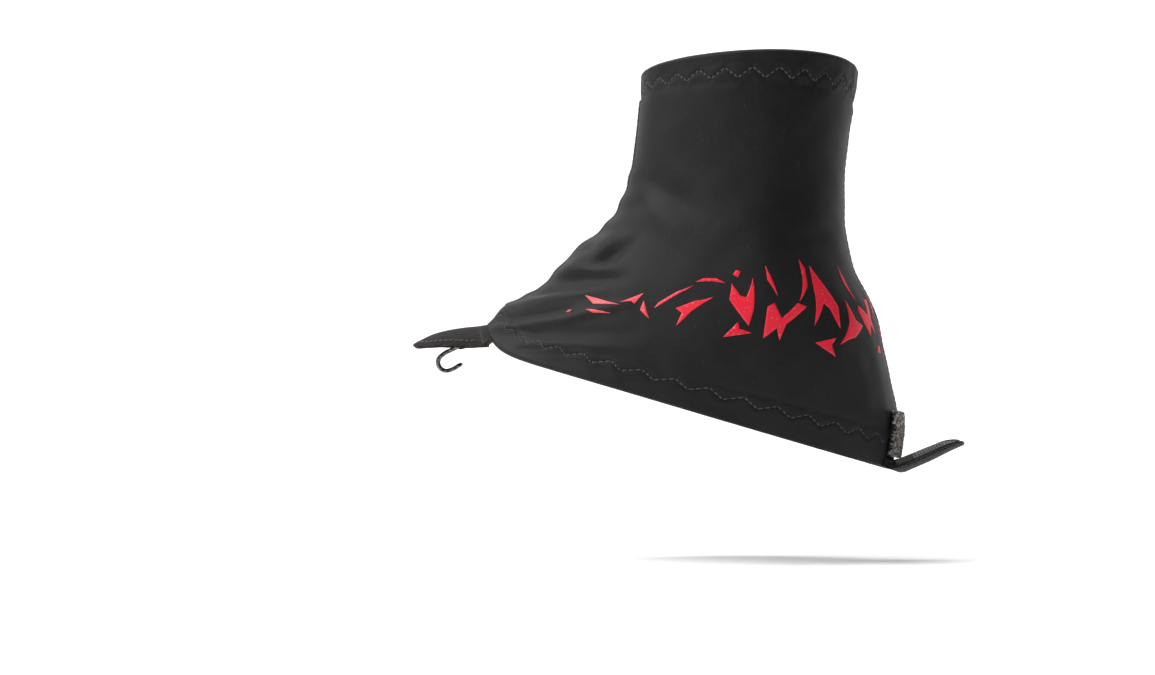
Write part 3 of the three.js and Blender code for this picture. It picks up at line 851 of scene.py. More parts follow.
def sheet_path(turns):
    """Heights and offsets of the outside and inside of the sheet, for every turn: edge, wall and edge."""
    angles = np.linspace(np.pi, 0, BEND_STEPS + 1)[:-1]
    walls = wall_heights()
    columns = BEND_STEPS * 2 + len(walls)
    sides = []
    for half in (CLOTH / 2, -CLOTH / 2):
        radius = BEND + half
        heights = np.zeros((len(turns), columns))
        offsets = np.zeros(columns)
        rise = BEND - radius * np.sin(angles)
        centre = CLOTH / 2 - BEND
        low_rate = mm_per_height(turns, np.zeros(len(turns)))
        high_rate = mm_per_height(turns, np.ones(len(turns)))
        heights[:, :BEND_STEPS] = rise[None, :] / low_rate[:, None]
        heights[:, BEND_STEPS:-BEND_STEPS] = walls[None, :]
        heights[:, -BEND_STEPS:] = 1 - rise[None, ::-1] / high_rate[:, None]
        offsets[:BEND_STEPS] = centre + radius * np.cos(angles)
        offsets[BEND_STEPS:-BEND_STEPS] = CLOTH / 2 + half
        offsets[-BEND_STEPS:] = (centre + radius * np.cos(angles))[::-1]
        sides.append((heights, offsets))
    return sides


def past_edge(turns, heights, offset):
    """A point that may lie a little past the hem's or cuff's edge: it goes on straight along the cloth."""
    inside = np.clip(heights, 0, 1)
    edge = on_cloth(turns, inside, offset)
    step = 4e-3
    way = skin(turns, np.clip(inside + step, 0, 1)) - skin(turns, np.clip(inside - step, 0, 1))
    run = (heights - inside) * mm_per_height(turns, inside)
    return edge + unit(way) * run[..., None]


print("bend radius", round(BEND, 2), "mm,", len(wall_heights()), "rows up the wall")


# %% Build the panels
COLUMNS_AROUND = 290


def build_panel(name, from_turn, to_turn, node):
    spread = np.linspace(0, 1, COLUMNS_AROUND)
    turns = from_turn + (to_turn - from_turn) * spread
    inset = 0.0002
    turns = np.clip(turns, from_turn + inset, to_turn - inset)
    (outer_heights, outer_offsets), (inner_heights, inner_offsets) = sheet_path(turns)
    front = past_edge(turns[:, None], outer_heights, outer_offsets[None, :])
    back = past_edge(turns[:, None], inner_heights, inner_offsets[None, :])
    panel = shell_piece(name, front, back, grid_lengths(front), stretch_cloth, "sleeve", "stretch_cloth")
    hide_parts(node)


build_panel("stretch_panel_outer", 0.0, math.pi, "sleeve_lateral")
build_panel("stretch_panel_inner", math.pi, 2 * math.pi, "sleeve_medial")

# %% [markdown]
# ## Facings and elastic inside the edges
#
# The turned-in cloth shows when one looks into the cuff or up under the hem. It is one closed band at
# each edge. Its raw edge is a little wavy, as an overlocked edge is. The elastic lies
# between, out of sight.


# %% Build the facings and the elastic
OVERLOCK_WAVES = 97


def build_band(name, node, low, high, inner, outer, material, slot, wavy=0.0):
    """A ring inside the sleeve. Its raw edge, away from the cuff's or hem's own edge, waves by wavy mm."""
    turns = np.linspace(0, 2 * np.pi, 360, endpoint=False)[:, None]
    wave = wavy * np.sin(turns * OVERLOCK_WAVES) / RISE
    at_cuff = low > 0.5
    bottom = low + wave * at_cuff
    top = high + wave * (not at_cuff)
    heights = bottom + (top - bottom) * np.linspace(0, 1, 26)[None, :]
    front = on_cloth(turns, heights, outer)
    back = on_cloth(turns, heights, inner)
    band = shell_piece(name, front, back, grid_lengths(front), material, "sleeve", slot, wraps=True)
    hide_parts(node)
    return band


ELASTIC_OUT = -GAP
FACING_OUT = ELASTIC_OUT - ELASTIC - GAP
cuff_facing = build_band("cuff_facing_band", "cuff_facing", 0.93, 0.992, FACING_OUT - CLOTH, FACING_OUT,
                         stretch_cloth, "stretch_cloth", 0.25)
hem_facing = build_band("hem_facing_band", "hem_facing", 0.008, 0.105, FACING_OUT - CLOTH, FACING_OUT,
                        stretch_cloth, "stretch_cloth", 0.25)
for name, node, low, high in (
    ("cuff_elastic_band", "cuff_elastic", 0.95, 0.985),
    ("hem_elastic_band", "hem_elastic", 0.015, 0.062),
):
    build_band(name, node, low, high, ELASTIC_OUT - ELASTIC + 0.1, ELASTIC_OUT, elastic_web, "elastic_web")
for facing, width, length in ((cuff_facing, 0.0095, 0.26), (hem_facing, 0.0145, 0.38)):
    print(facing.name, round(mesh_area(facing) / 2 * 1e4, 1), "cm2, flat", round(width * length * 1e4, 1))

# %% [markdown]
# ## Stitches
#
# A real stitch is a short arch of thread that dives into the cloth at both ends. From a little way off a
# row of them reads as a dashed line with a glint on each dash, which a painted line can't give. One
# helper makes any number of stitches from their end points, and all sewing on the gaiter uses it.


# %% Stitch builder
def build_stitches(name, starts, ends, normals, body, radius=0.26, arch=0.3):
    """One small tapered arch of thread for each pair of end points."""
    starts, ends, normals = (np.asarray(a, float) for a in (starts, ends, normals))
    along = np.linspace(0, 1, 7)
    sides = np.linspace(0, 2 * np.pi, 6, endpoint=False)
    ways = unit(ends - starts)
    rights = unit(np.cross(ways, normals))
    ups = np.cross(rights, ways)
    hump = arch * np.sin(np.pi * along) ** 0.7 - radius * 0.6
    girth = radius * np.clip(np.sin(np.pi * (along * 0.92 + 0.04)), 0.0, 1) ** 0.4
    straight = starts[:, None] + (ends - starts)[:, None] * along[None, :, None]
    middle = straight + ups[:, None] * hump[None, :, None]
    circle = (
        rights[:, None, None] * np.cos(sides)[None, None, :, None]
        + ups[:, None, None] * np.sin(sides)[None, None, :, None]
    )
    points = middle[:, :, None] + circle * girth[None, :, None, None]
    count, rings, around = points.shape[:3]
    index = np.arange(count * rings * around).reshape(count, rings, around)
    turned = np.roll(index, -1, 2)
    quads = np.stack([index[:, :-1], turned[:, :-1], turned[:, 1:], index[:, 1:]], -1).reshape(-1, 4)
    caps = [*index[:, 0, ::-1].tolist(), *index[:, -1].tolist()]
    faces = [*quads.tolist(), *caps]
    return make_piece(name, points.reshape(-1, 3), faces, thread, body, "thread")


def along_cloth(turns, heights, offset):
    return on_cloth(turns, heights, offset), outward(turns, heights)


# %% Zigzag rows on the cuff and hem
def build_zigzag(name, row, node):
    turns = needle_turns(row)
    spots, normals = along_cloth(turns, zigzag_height(turns, row), CLOTH + 0.02)
    ways = unit(spots[1:] - spots[:-1])
    stitches = build_stitches(name, spots[:-1] + ways * 0.18, spots[1:] - ways * 0.18, normals[:-1], "sleeve",
                              radius=0.24, arch=0.42)
    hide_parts(node)
    print(name, len(turns) - 1, "stitches")


build_zigzag("cuff_zigzag", CUFF_ROW, "cuff_stitch")
build_zigzag("hem_zigzag", HEM_ROW, "hem_stitch")

# %% [markdown]
# ## Flatlock seams
#
# Front and heel are joined edge to edge with a flatlock: a low flat ridge with threads crossing it like a
# ladder. It is modelled as that ridge and those threads.

# %% Build the two seams
SEAM_WIDTH = 5.0
THREAD_SPACING = 1.15


def build_seam(name, centre, at_heel, low, high, node):
    heights = np.linspace(low, high, 150)
    across = np.linspace(-1, 1, 11)
    turns = centre + turn_at(across[:, None] * SEAM_WIDTH / 2, heights[None, :], at_heel)
    crown = (1 - across**4)[:, None] * 0.34
    front = on_cloth(turns, heights[None, :], CLOTH + 0.02 + crown)
    back = on_cloth(turns, heights[None, :], CLOTH - 0.15)
    ridge = shell_piece(name, front, back, grid_lengths(front), stretch_cloth, "sleeve", "thread")
    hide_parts(node)
    count = int((high - low) * RISE / THREAD_SPACING)
    edges = np.linspace(low, high, count + 1)
    swing = np.where(np.arange(count + 1) % 2 == 0, -1, 1) * SEAM_WIDTH * 0.42
    spots, normals = along_cloth(centre + turn_at(swing, edges, at_heel), edges, CLOTH + 0.34)
    build_stitches(name + "_threads", spots[:-1], spots[1:], normals[:-1], "sleeve", radius=0.2, arch=0.3)
    print(name, count, "crossing threads")


build_seam("front_flatlock", 0.0, False, 0.125, 0.915, "front_seam")
build_seam("heel_flatlock", math.pi, True, 0.172, 0.915, "heel_seam")

# %% [markdown]
# ## The printed band
#
# A band of red splinters runs round the foot below the ankle, small and slim towards the toe and large at
# the heel. It is heat-set film, which lies on the knit, so it is its own thin mesh with real thickness.
# The artwork is drawn flat, in millimetres, from a few splinter shapes, and then bent onto the sleeve.

# %% Splinter shapes and their places
SPLINTERS = {
    "sliver": [(-1.0, -0.08), (0.20, -0.20), (1.0, 0.16), (0.30, 0.10)],
    "slash": [(-1.0, 0.26), (0.10, -0.02), (0.96, -0.42), (0.72, -0.02), (-0.10, 0.30)],
    "thorn": [(-0.62, -0.55), (0.66, -0.30), (0.20, 0.02), (0.08, 0.85)],
    "chip": [(-0.45, -0.30), (0.38, -0.48), (0.52, 0.18), (-0.12, 0.46)],
    "claw": [(-0.70, 0.95), (-0.30, 0.72), (0.10, 0.60), (0.66, 0.08), (0.16, -0.16), (-0.16, -1.0),
             (-0.22, 0.02), (-0.42, 0.50)],
    "fork": [(-0.95, -0.62), (-0.58, 0.10), (0.10, 0.52), (0.86, 0.98), (0.62, 0.30), (0.34, -0.20),
             (-0.10, -1.0), (0.02, -0.12), (-0.28, -0.16)],
    "barb": [(-0.80, 0.80), (-0.36, 0.86), (0.02, 0.10), (0.62, 0.66), (0.82, 0.44), (0.26, -0.90),
             (0.0, -0.34), (-0.34, -0.84), (-0.26, -0.10)],
}
# shape, distance forward from the heel line, height above the band's middle, length, lean in degrees
BAND = [
    ("thorn", 6.0, -8.5, 5.6, 200), ("sliver", 9.0, 5.5, 9.5, 118), ("barb", 20.0, -1.5, 8.8, -12),
    ("chip", 14.0, -15.0, 3.8, 25), ("sliver", 28.5, 12.5, 8.0, 72), ("claw", 32.5, -5.0, 9.8, 178),
    ("fork", 46.0, 3.5, 11.6, 26), ("thorn", 43.5, -15.5, 6.2, 150), ("slash", 56.0, 11.0, 9.0, 118),
    ("barb", 63.5, -6.5, 9.8, 8), ("sliver", 71.5, 10.5, 7.6, 58), ("thorn", 77.5, -13.0, 6.4, 96),
    ("fork", 81.5, 1.5, 10.4, 190), ("chip", 88.5, 14.5, 3.8, 40), ("slash", 100.0, 11.0, 7.0, 24),
    ("claw", 101.5, -4.5, 8.6, 6), ("slash", 112.0, 3.5, 7.6, -35), ("sliver", 119.0, -4.5, 7.2, 42),
    ("thorn", 128.5, 1.5, 5.2, 250), ("sliver", 141.5, 0.5, 10.4, 9), ("sliver", 137.5, -6.5, 6.4, 3),
    ("chip", 151.5, -5.5, 2.4, 15),
]
BAND_Z = {"heel": -104.0, "front": -98.5}
FILM = 0.14


def band_table():
    """From the front to the heel: turns, the height of the band's middle, and its distance from the heel."""
    turns = np.linspace(0.3, np.pi, 500)
    heights = np.linspace(0.05, 0.8, 700)
    levels = skin(turns[:, None], heights[None, :])[..., 2]
    wanted = BAND_Z["front"] + (BAND_Z["heel"] - BAND_Z["front"]) * smoothstep(turns, 1.4, np.pi)
    middle = np.array([np.interp(z, row, heights) for z, row in zip(wanted, levels)])
    steps = np.linalg.norm(np.diff(skin(turns, middle), axis=0), axis=-1)
    distance = np.concatenate([np.cumsum(steps[::-1])[::-1], [0]])
    return turns, middle, distance


BAND_TURNS, BAND_MIDDLE, BAND_DISTANCE = band_table()


def band_to_cloth(forward, up, outer_side):
    """Turn and height of a point of the flat artwork."""
    turn = np.interp(-np.abs(forward), -BAND_DISTANCE, BAND_TURNS)
    middle = np.interp(turn, BAND_TURNS, BAND_MIDDLE)
    height = middle + up / mm_per_height(turn, middle)
    past_heel = (forward < 0) == outer_side
    return np.where(past_heel, 2 * np.pi - turn, turn), height


print("band is", round(float(BAND_DISTANCE[0])), "mm long from the heel to the front")


# %% Bend the splinters onto the sleeve
def splinter_outline(shape, forward, up, length, lean):
    corners = np.array(SPLINTERS[shape]) * length
    angle = math.radians(lean)
    turned = corners @ np.array([[math.cos(angle), math.sin(angle)], [-math.sin(angle), math.cos(angle)]])
    return turned + [forward, up]


def fill_outline(corners, spacing=1.0):
    """Triangles that fill an outline, small enough to follow the cloth. Gives points and triangles."""
    edge = []
    for start, end in zip(corners, np.roll(corners, -1, 0)):
        parts = max(int(np.linalg.norm(end - start) / spacing), 1)
        edge += [start + (end - start) * i / parts for i in range(parts)]
    low, high = corners.min(0), corners.max(0)
    columns, rows = (np.arange(low[k], high[k], spacing) for k in range(2))
    inner = [Vector((x, y)) for x in columns for y in rows]
    outline = [Vector(p) for p in edge]
    result = delaunay_2d_cdt(outline + inner, [], [list(range(len(outline)))], 1, 1e-4)
    points = np.array([list(v) for v in result[0]])
    return points, [list(face) for face in result[2]]


def build_print(name, outer_side):
    vertices, faces, wear = [], [], []
    for spot in BAND:
        corners = splinter_outline(*spot)
        flat, triangles = fill_outline(corners)
        used = sorted({i for face in triangles for i in face})
        lookup = {old: new for new, old in enumerate(used)}
        flat = flat[used]
        turn, height = band_to_cloth(flat[:, 0], flat[:, 1], outer_side)
        base, count = len(vertices), len(used)
        tops = on_cloth(turn, height, CLOTH + FILM)
        vertices += [*tops, *on_cloth(turn, height, CLOTH + 0.01)]
        edges = {}
        for face in triangles:
            a, b, c = (lookup[i] for i in face)
            first, second, third = tops[a], tops[b], tops[c]
            out = np.cross(second - first, third - first) @ outward(turn[a], height[a])
            a, b, c = (a, b, c) if out > 0 else (a, c, b)
            faces += [[base + a, base + b, base + c], [base + count + a, base + count + c, base + count + b]]
            for one, two in ((a, b), (b, c), (c, a)):
                edges[(one, two)] = True
        rim = [(a, b) for a, b in edges if (b, a) not in edges]
        faces += [[base + b, base + a, base + count + a, base + count + b] for a, b in rim]
        # paler towards the front and the heel end: partly film stretched thin, partly painted sheen
        fade = np.clip((flat[:, 0] - 92) / 60, 0, 0.55) + np.clip((12 - flat[:, 0]) / 40, 0, 0.3)
        wear += [*fade, *fade]
    make_piece(name, np.array(vertices), faces, print_film, "sleeve", None, print_wear=np.array(wear))
    print(name, len(BAND), "splinters,", len(faces), "faces")


build_print("splinter_print_outer", True)
build_print("splinter_print_inner", False)

# %% [markdown]
# ## The front tab and its hook
#
# The tab is a stiff leaf of suede on a webbing lining, sewn to the front of the hem and stitched round
# its edge. It is arched across and a little bowed along, so that its lower edge looks straight from the
# side. Under it a loop of webbing holds a hook of bent wire, which catches the shoe's lowest lace. The
# tab and the hook move, so they are built in the tab's own frame and placed with it.

# %% The tab's own frame
LACE_TAB = {"root": (-113.9, -107.6), "length": 32.0, "half_width": 14.5, "arch": -0.041, "slope": 15.0}


def from_frame(points, root, slope, towards):
    """From a tab's x (outwards), y and z (up) to the row frame. towards is -1 for the toe, 1 for the heel."""
    points = np.asarray(points, float)
    angle = math.radians(slope)
    x, y, z = np.moveaxis(points, -1, 0)
    forward = x * math.cos(angle) - z * math.sin(angle)
    up = x * math.sin(angle) + z * math.cos(angle)
    return np.stack([root[0] + towards * forward, y * -towards if towards < 0 else y, root[1] + up], -1)


def on_lace_tab(points):
    return from_frame(points, LACE_TAB["root"], -LACE_TAB["slope"], -1)


def leaf_grid(inset, rows=44, columns=41):
    """x and y over the leaf: half an ellipse, with the straight side at the root."""
    angle = np.radians(np.linspace(1.5, 88, rows))[:, None]
    across = np.sin(np.linspace(-1, 1, columns) * np.pi / 2)[None, :]
    x = (LACE_TAB["length"] - inset) * np.sin(angle) * np.ones_like(across)
    y = (LACE_TAB["half_width"] - inset) * np.cos(angle) * across
    edge = np.maximum(np.abs(across) * np.ones_like(angle), np.sin(angle) ** 6 * np.ones_like(across))
    return x, y, edge


def leaf_rise(x, y):
    """How far the leaf stands off its own plane: arched across, bowed along, and a little wavy."""
    bow = 2.0 * np.sin(np.pi * np.clip(x / LACE_TAB["length"], 0, 1) ** 1.25)
    swell = 0.25 * ripple(np.stack([x, y, x * 0], -1), 13, 21) * np.clip(x / 8, 0, 1)
    return LACE_TAB["arch"] * y**2 + bow + 0.25 * np.sin(x / 4.1) * (y / 14) ** 2 + swell


def build_leaf(name, node, inset, low, high, material, slot):
    x, y, edge = leaf_grid(inset)
    round_off = (1 - np.clip(edge, 0, 1) ** 10) ** 0.5
    middle = (low + high) / 2 + leaf_rise(x, y)
    half = (high - low) / 2 * (0.45 + 0.55 * round_off)
    front = on_lace_tab(np.stack([x, y, middle + half], -1))
    back = on_lace_tab(np.stack([x, y, middle - half], -1))
    flat = np.stack([y, x], -1)
    leaf = shell_piece(name, back, front, flat, material, "lace_tab", slot)
    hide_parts(node)
    return leaf


tab_leaf = build_leaf("tab_leaf", "lace_tab", 0.0, -1.05, 0.05, suede, "suede")
tab_lining = build_leaf("tab_lining", "lace_tab_lining", 0.6, -2.05, -1.15, webbing, "webbing")
print(tab_leaf.name, tab_lining.name)


# %% Edge stitching of the tab
def spaced_along(points, spacing):
    """Points a fixed distance apart along a line of points."""
    lengths = np.linalg.norm(np.diff(points, axis=0), axis=-1)
    reach = np.concatenate([[0], np.cumsum(lengths)])
    marks = np.linspace(0, reach[-1], int(round(reach[-1] / spacing)) + 1)
    return np.stack([np.interp(marks, reach, points[:, k]) for k in range(3)], -1)


def build_tab_stitching():
    angle = np.radians(np.linspace(-80, 80, 160))
    inset = 2.0
    x = (LACE_TAB["length"] - inset) * np.cos(angle)
    y = (LACE_TAB["half_width"] - inset) * np.sin(angle)
    holes = spaced_along(np.stack([x, y, 0.06 + leaf_rise(x, y)], -1), 2.3)
    ways = unit(holes[1:] - holes[:-1])
    ups = np.stack([0 * holes[:-1, 0], -2 * LACE_TAB["arch"] * holes[:-1, 1], 1 + 0 * holes[:-1, 0]], -1)
    root = on_lace_tab(np.zeros(3))
    stitches = build_stitches(
        "tab_edge_stitching", on_lace_tab(holes[:-1] + ways * 0.25), on_lace_tab(holes[1:] - ways * 0.25),
        on_lace_tab(ups) - root, "lace_tab", radius=0.27, arch=0.34,
    )
    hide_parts("lace_tab_stitch")
    return len(holes) - 1


print("tab edge:", build_tab_stitching(), "stitches")


# %% The cloth root of the tab
def build_tab_root():
    """A tongue of the same suede that comes out from under the hem and curves up into the tab."""
    across = np.linspace(-1, 1, 33)
    under_hem = on_cloth(turn_at(-across * 13.2, 0.02, False) % (2 * np.pi), np.full(33, 0.035), -0.75)
    at_edge = on_cloth(turn_at(-across * 13.8, 0.0, False) % (2 * np.pi), np.full(33, 0.0), 0.1)
    y = across * 14.0
    leaf_end = np.full(33, 2.6)
    leaf = on_lace_tab(np.stack([leaf_end, y, -0.98 + leaf_rise(leaf_end, y)], -1))
    way = np.linspace(0, 1, 15)[:, None, None]
    middle = (1 - way) ** 2 * under_hem + 2 * way * (1 - way) * at_edge + way**2 * leaf
    around = np.gradient(middle, axis=1)
    along = np.gradient(middle, axis=0)
    normal = unit(np.cross(along, around))
    half = 0.35 + 0.5 * smoothstep(way, 0.25, 0.85)
    front, back = middle + normal * half, middle - normal * half
    tongue = shell_piece("tab_root_tongue", front, back, grid_lengths(middle), suede, None, "suede")
    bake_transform(tongue)
    return tongue


print(build_tab_root().name)

# %% Keeper and wire hook
KEEPER = {"along": 10.5, "length": 7.0, "height": 4.6, "width": 7.0, "wall": 1.0}
BAR_DEPTH = LACE_TAB["arch"] * (KEEPER["width"] / 2) ** 2 - 1.0 - 0.8 - 2 * GAP - KEEPER["height"] / 2
HOOK = {"wire": 1.8, "half_bar": 5.2, "half_tip": 3.2, "leg": 10.5, "bend": 3.7, "back": 4.5, "slope": 28.0}


def rounded_rectangle(width, height, radius, per_corner=6):
    """Points round a rectangle with round corners, anticlockwise."""
    corners = [(1, 1, 0), (-1, 1, 90), (-1, -1, 180), (1, -1, 270)]
    points = []
    for sx, sy, start in corners:
        for angle in np.radians(np.linspace(start, start + 90, per_corner)):
            points.append((sx * (width / 2 - radius) + radius * math.cos(angle),
                           sy * (height / 2 - radius) + radius * math.sin(angle)))
    return np.array(points)


def build_keeper():
    """A loop of narrow tape: a rounded ring drawn across the tab, its edges softened."""
    reach = 1.7  # the leaf above it is bowed, so the loop is this much taller
    tall = KEEPER["height"] + reach
    outer = rounded_rectangle(KEEPER["length"], tall, 1.7)
    inner = rounded_rectangle(KEEPER["length"] - 2 * KEEPER["wall"], tall - 2 * KEEPER["wall"], 0.9)
    across = np.linspace(-1, 1, 13)
    soften = (0.16 * np.abs(across) ** 8)[None, :, None]
    rings = []
    for ring, sign in ((outer, 1), (inner, -1)):
        shifted = ring[:, None, :] * np.ones((1, 13, 1)) - sign * soften * unit(ring)[:, None, :]
        y = np.broadcast_to(across * KEEPER["width"] / 2, shifted.shape[:2])
        local = np.stack([KEEPER["along"] + shifted[..., 0], y, BAR_DEPTH + reach / 2 + shifted[..., 1]], -1)
        rings.append(on_lace_tab(local))
    keeper = shell_piece("hook_keeper_loop", rings[1], rings[0], grid_lengths(rings[0]), webbing, "lace_tab",
                         "webbing", wraps=True)
    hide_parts("hook_keeper")
    return keeper


def hook_line():
    """The wire's centre line in its own frame: bar, legs, and the bend that turns back under."""
    sides = []
    for sign in (1, -1):
        bar = HOOK["half_bar"]
        side = [(0, bar - 2.2, 0), (0, bar - 1.2, 0), (0.9, bar, 0), (HOOK["leg"] / 2, bar - 0.5, 0)]
        for angle in np.linspace(0, np.pi, 5):
            forward = HOOK["leg"] + HOOK["bend"] * math.sin(angle)
            out = HOOK["half_tip"] + 0.6 * (1 - angle / np.pi)
            side.append((forward, out, HOOK["bend"] * (math.cos(angle) - 1)))
        side.append((HOOK["leg"] - HOOK["back"] + 0.8, HOOK["half_tip"], -2 * HOOK["bend"]))
        side.append((HOOK["leg"] - HOOK["back"], HOOK["half_tip"] - 1.0, -2 * HOOK["bend"]))
        side = [(x, sign * y, z) for x, y, z in side]
        sides += side if sign > 0 else side[::-1]
    return np.array(sides)


def build_hook():
    """A closed curve with a round section, which keeps the wire's thickness even round its bends."""
    tilt = math.radians(HOOK["slope"] - LACE_TAB["slope"])
    x, y, z = hook_line().T
    forward = x * math.cos(tilt) + z * math.sin(tilt)
    up = -x * math.sin(tilt) + z * math.cos(tilt)
    turned = np.stack([forward, y, up], -1)
    points = on_lace_tab(turned + [KEEPER["along"], 0, BAR_DEPTH]) * MM
    curve = bpy.data.curves.new("wire_hook", "CURVE")
    curve.dimensions = "3D"
    curve.bevel_depth = HOOK["wire"] / 2 * MM
    curve.bevel_resolution = 5
    curve.resolution_u = 10
    spline = curve.splines.new("BEZIER")
    spline.bezier_points.add(len(points) - 1)
    spline.use_cyclic_u = True
    for knot, point in zip(spline.bezier_points, points):
        knot.co = point
        knot.handle_left_type = knot.handle_right_type = "AUTO"
    curve.materials.append(black_wire)
    hook = bpy.data.objects.new("wire_hook", curve)
    bpy.context.scene.collection.objects.link(hook)
    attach(hook, "lace_hook")
    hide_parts("lace_hook")
    return hook


print(build_keeper().name, build_hook().name)

# %% [markdown]
# ## The heel: loop patch and pull tab
#
# Loop tape is a knitted backing with a pile of fine curled fibres, and at this size the fibres can be
# modelled one by one. The pull tab's own face carries hook tape, so it has rows of small nylon hooks.

# %% Heel patch
HEEL_PATCH = {"half_width": 16.0, "from": 6.5, "to": 24.0, "thickness": 1.5}
HEEL_RATE = 144.0
PATCH_BASE = OVER_STITCH + GAP


def on_heel(y, up, offset):
    """A point on the heel, y across and up above the hem in mm. It has no folds, as the patch is stiff."""
    height = np.asarray(up, float) / HEEL_RATE
    turn = np.pi + turn_at(np.asarray(y, float), height, True)
    return skin(turn, height) + outward(turn, height) * np.asarray(offset, float)[..., None]


def build_heel_patch():
    wide, low, high = HEEL_PATCH["half_width"], HEEL_PATCH["from"], HEEL_PATCH["to"]
    a = np.sin(np.linspace(-1, 1, 61) * np.pi / 2)[:, None]
    b = np.sin(np.linspace(-1, 1, 45) * np.pi / 2)[None, :]
    corner = 1 - 0.035 * (a * b) ** 6
    y = a * wide * corner
    up = (low + high) / 2 + b * (high - low) / 2 * corner
    edge = np.maximum(np.abs(a) * np.ones_like(b), np.abs(b) * np.ones_like(a))
    thick = HEEL_PATCH["thickness"] * (0.30 + 0.62 * (1 - edge**14) ** 0.5)
    points = np.stack([y, up, 0 * y], -1)
    front = on_heel(y, up, PATCH_BASE + thick + 0.05 * ripple(points, 5, 31))
    back = on_heel(y, up, PATCH_BASE - 0.7 + 0 * y)
    flat = np.stack([y, up], -1)
    patch = shell_piece("heel_loop_backing", front, back, flat, webbing, "sleeve", "loop_tape")
    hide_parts("heel_loop_patch")
    return patch


print(build_heel_patch().name)


# %% Fibres of the loop pile
def build_fibres(name, count, seed, body):
    """Curled threads, each a short arch with a random lean, reach and painted highlight."""
    random = np.random.default_rng(seed)
    wide = HEEL_PATCH["half_width"]
    y = random.uniform(-1, 1, count) * (wide - 0.2)
    up = random.uniform(HEEL_PATCH["from"] + 0.4, HEEL_PATCH["to"] - 0.6, count)
    lean = random.uniform(0, 2 * np.pi, count)
    reach = random.uniform(0.6, 1.5, count)
    tuft = np.clip(0.5 + 0.8 * ripple(np.stack([y, up, 0 * y], -1), 2.1, 61), 0, 1)
    tall = random.uniform(0.25, 0.7, count) + 0.55 * tuft
    steps = np.linspace(0, 1, 6)
    curl = np.sin(np.pi * steps) ** 0.8
    sway = random.uniform(-0.5, 0.5, count)[:, None] * np.sin(2 * np.pi * steps)
    cos_lean, sin_lean = np.cos(lean)[:, None], np.sin(lean)[:, None]
    run = reach[:, None] * (steps - 0.5)
    line_y = y[:, None] + cos_lean * run - sin_lean * sway
    line_up = up[:, None] + sin_lean * run + cos_lean * sway
    at_rim = smoothstep(np.abs(y), wide - 1.4, wide)
    base = PATCH_BASE + HEEL_PATCH["thickness"] * (0.70 - 0.75 * at_rim)
    offset = base[:, None] + tall[:, None] * curl
    middle = on_heel(line_y, line_up, offset)
    ways = unit(np.gradient(middle, axis=1))
    rights = unit(np.cross(ways, np.array([0.3, 0.2, 0.93])))
    ups = np.cross(rights, ways)
    sides = np.linspace(0, 2 * np.pi, 4, endpoint=False)
    width = 0.125 * (0.5 + curl)
    circle = rights[:, :, None] * np.cos(sides)[:, None] + ups[:, :, None] * np.sin(sides)[:, None]
    points = middle[:, :, None] + circle * width[None, :, None, None]
    index = np.arange(points.size // 3).reshape(points.shape[:3])
    turned = np.roll(index, -1, 2)
    quads = np.stack([index[:, :-1], turned[:, :-1], turned[:, 1:], index[:, 1:]], -1).reshape(-1, 4)
    caps = [*index[:, 0, ::-1].tolist(), *index[:, -1].tolist()]
    # painted highlight: pale fibres, most of them in the tufts, stand in for light caught on the loops
    painted_highlight = random.uniform(0, 1, count) ** 1.4 * (0.05 + 1.1 * tuft**1.5)
    tint = np.repeat(painted_highlight, points.shape[1] * points.shape[2])
    return make_piece(name, points.reshape(-1, 3), [*quads.tolist(), *caps], loop_fibre, body, "loop_tape",
                      fibre_tint=tint)


FIBRES = 3200
print(build_fibres("heel_loop_pile", FIBRES, 12, "sleeve").name, FIBRES, "fibres")


# %% Stitching round the heel patch
def build_patch_stitching():
    wide, low, high = HEEL_PATCH["half_width"], HEEL_PATCH["from"], HEEL_PATCH["to"]
    outline = rounded_rectangle(2 * wide - 3.4, high - low - 3.4, 1.6)
    outline = np.concatenate([outline, outline[:1]])
    holes = spaced_along(np.column_stack([outline, np.zeros(len(outline))]), 2.3)
    y, up = holes[:, 0], holes[:, 1] + (low + high) / 2
    offset = np.full(len(y), PATCH_BASE + HEEL_PATCH["thickness"] * 0.92)
    spots = on_heel(y, up, offset)
    normals = unit(on_heel(y, up, offset + 1) - spots)
    ways = unit(spots[1:] - spots[:-1])
    stitches = build_stitches("heel_patch_stitching", spots[:-1] + ways * 0.25, spots[1:] - ways * 0.25,
                              normals[:-1], "sleeve", radius=0.26, arch=0.42)
    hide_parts("heel_patch_stitch")
    return len(y) - 1


print("heel patch:", build_patch_stitching(), "stitches")

# %% The pull tab's own frame
HEEL_TAB = {"root": (64.4, -170.5), "length": 30.0, "half_width": 16.0, "arch": 0.0175, "slope": 25.0}
TAB_CORNER = 8.0
STRIP = 1.2


def on_heel_tab(points):
    return from_frame(points, HEEL_TAB["root"], HEEL_TAB["slope"], 1)


def tab_half_width(x, inset):
    past = np.clip(x - (HEEL_TAB["length"] - inset - TAB_CORNER), 0, TAB_CORNER)
    round_off = TAB_CORNER - np.sqrt(np.maximum(TAB_CORNER**2 - past**2, 0))
    return HEEL_TAB["half_width"] - inset - 0.07 * x - round_off


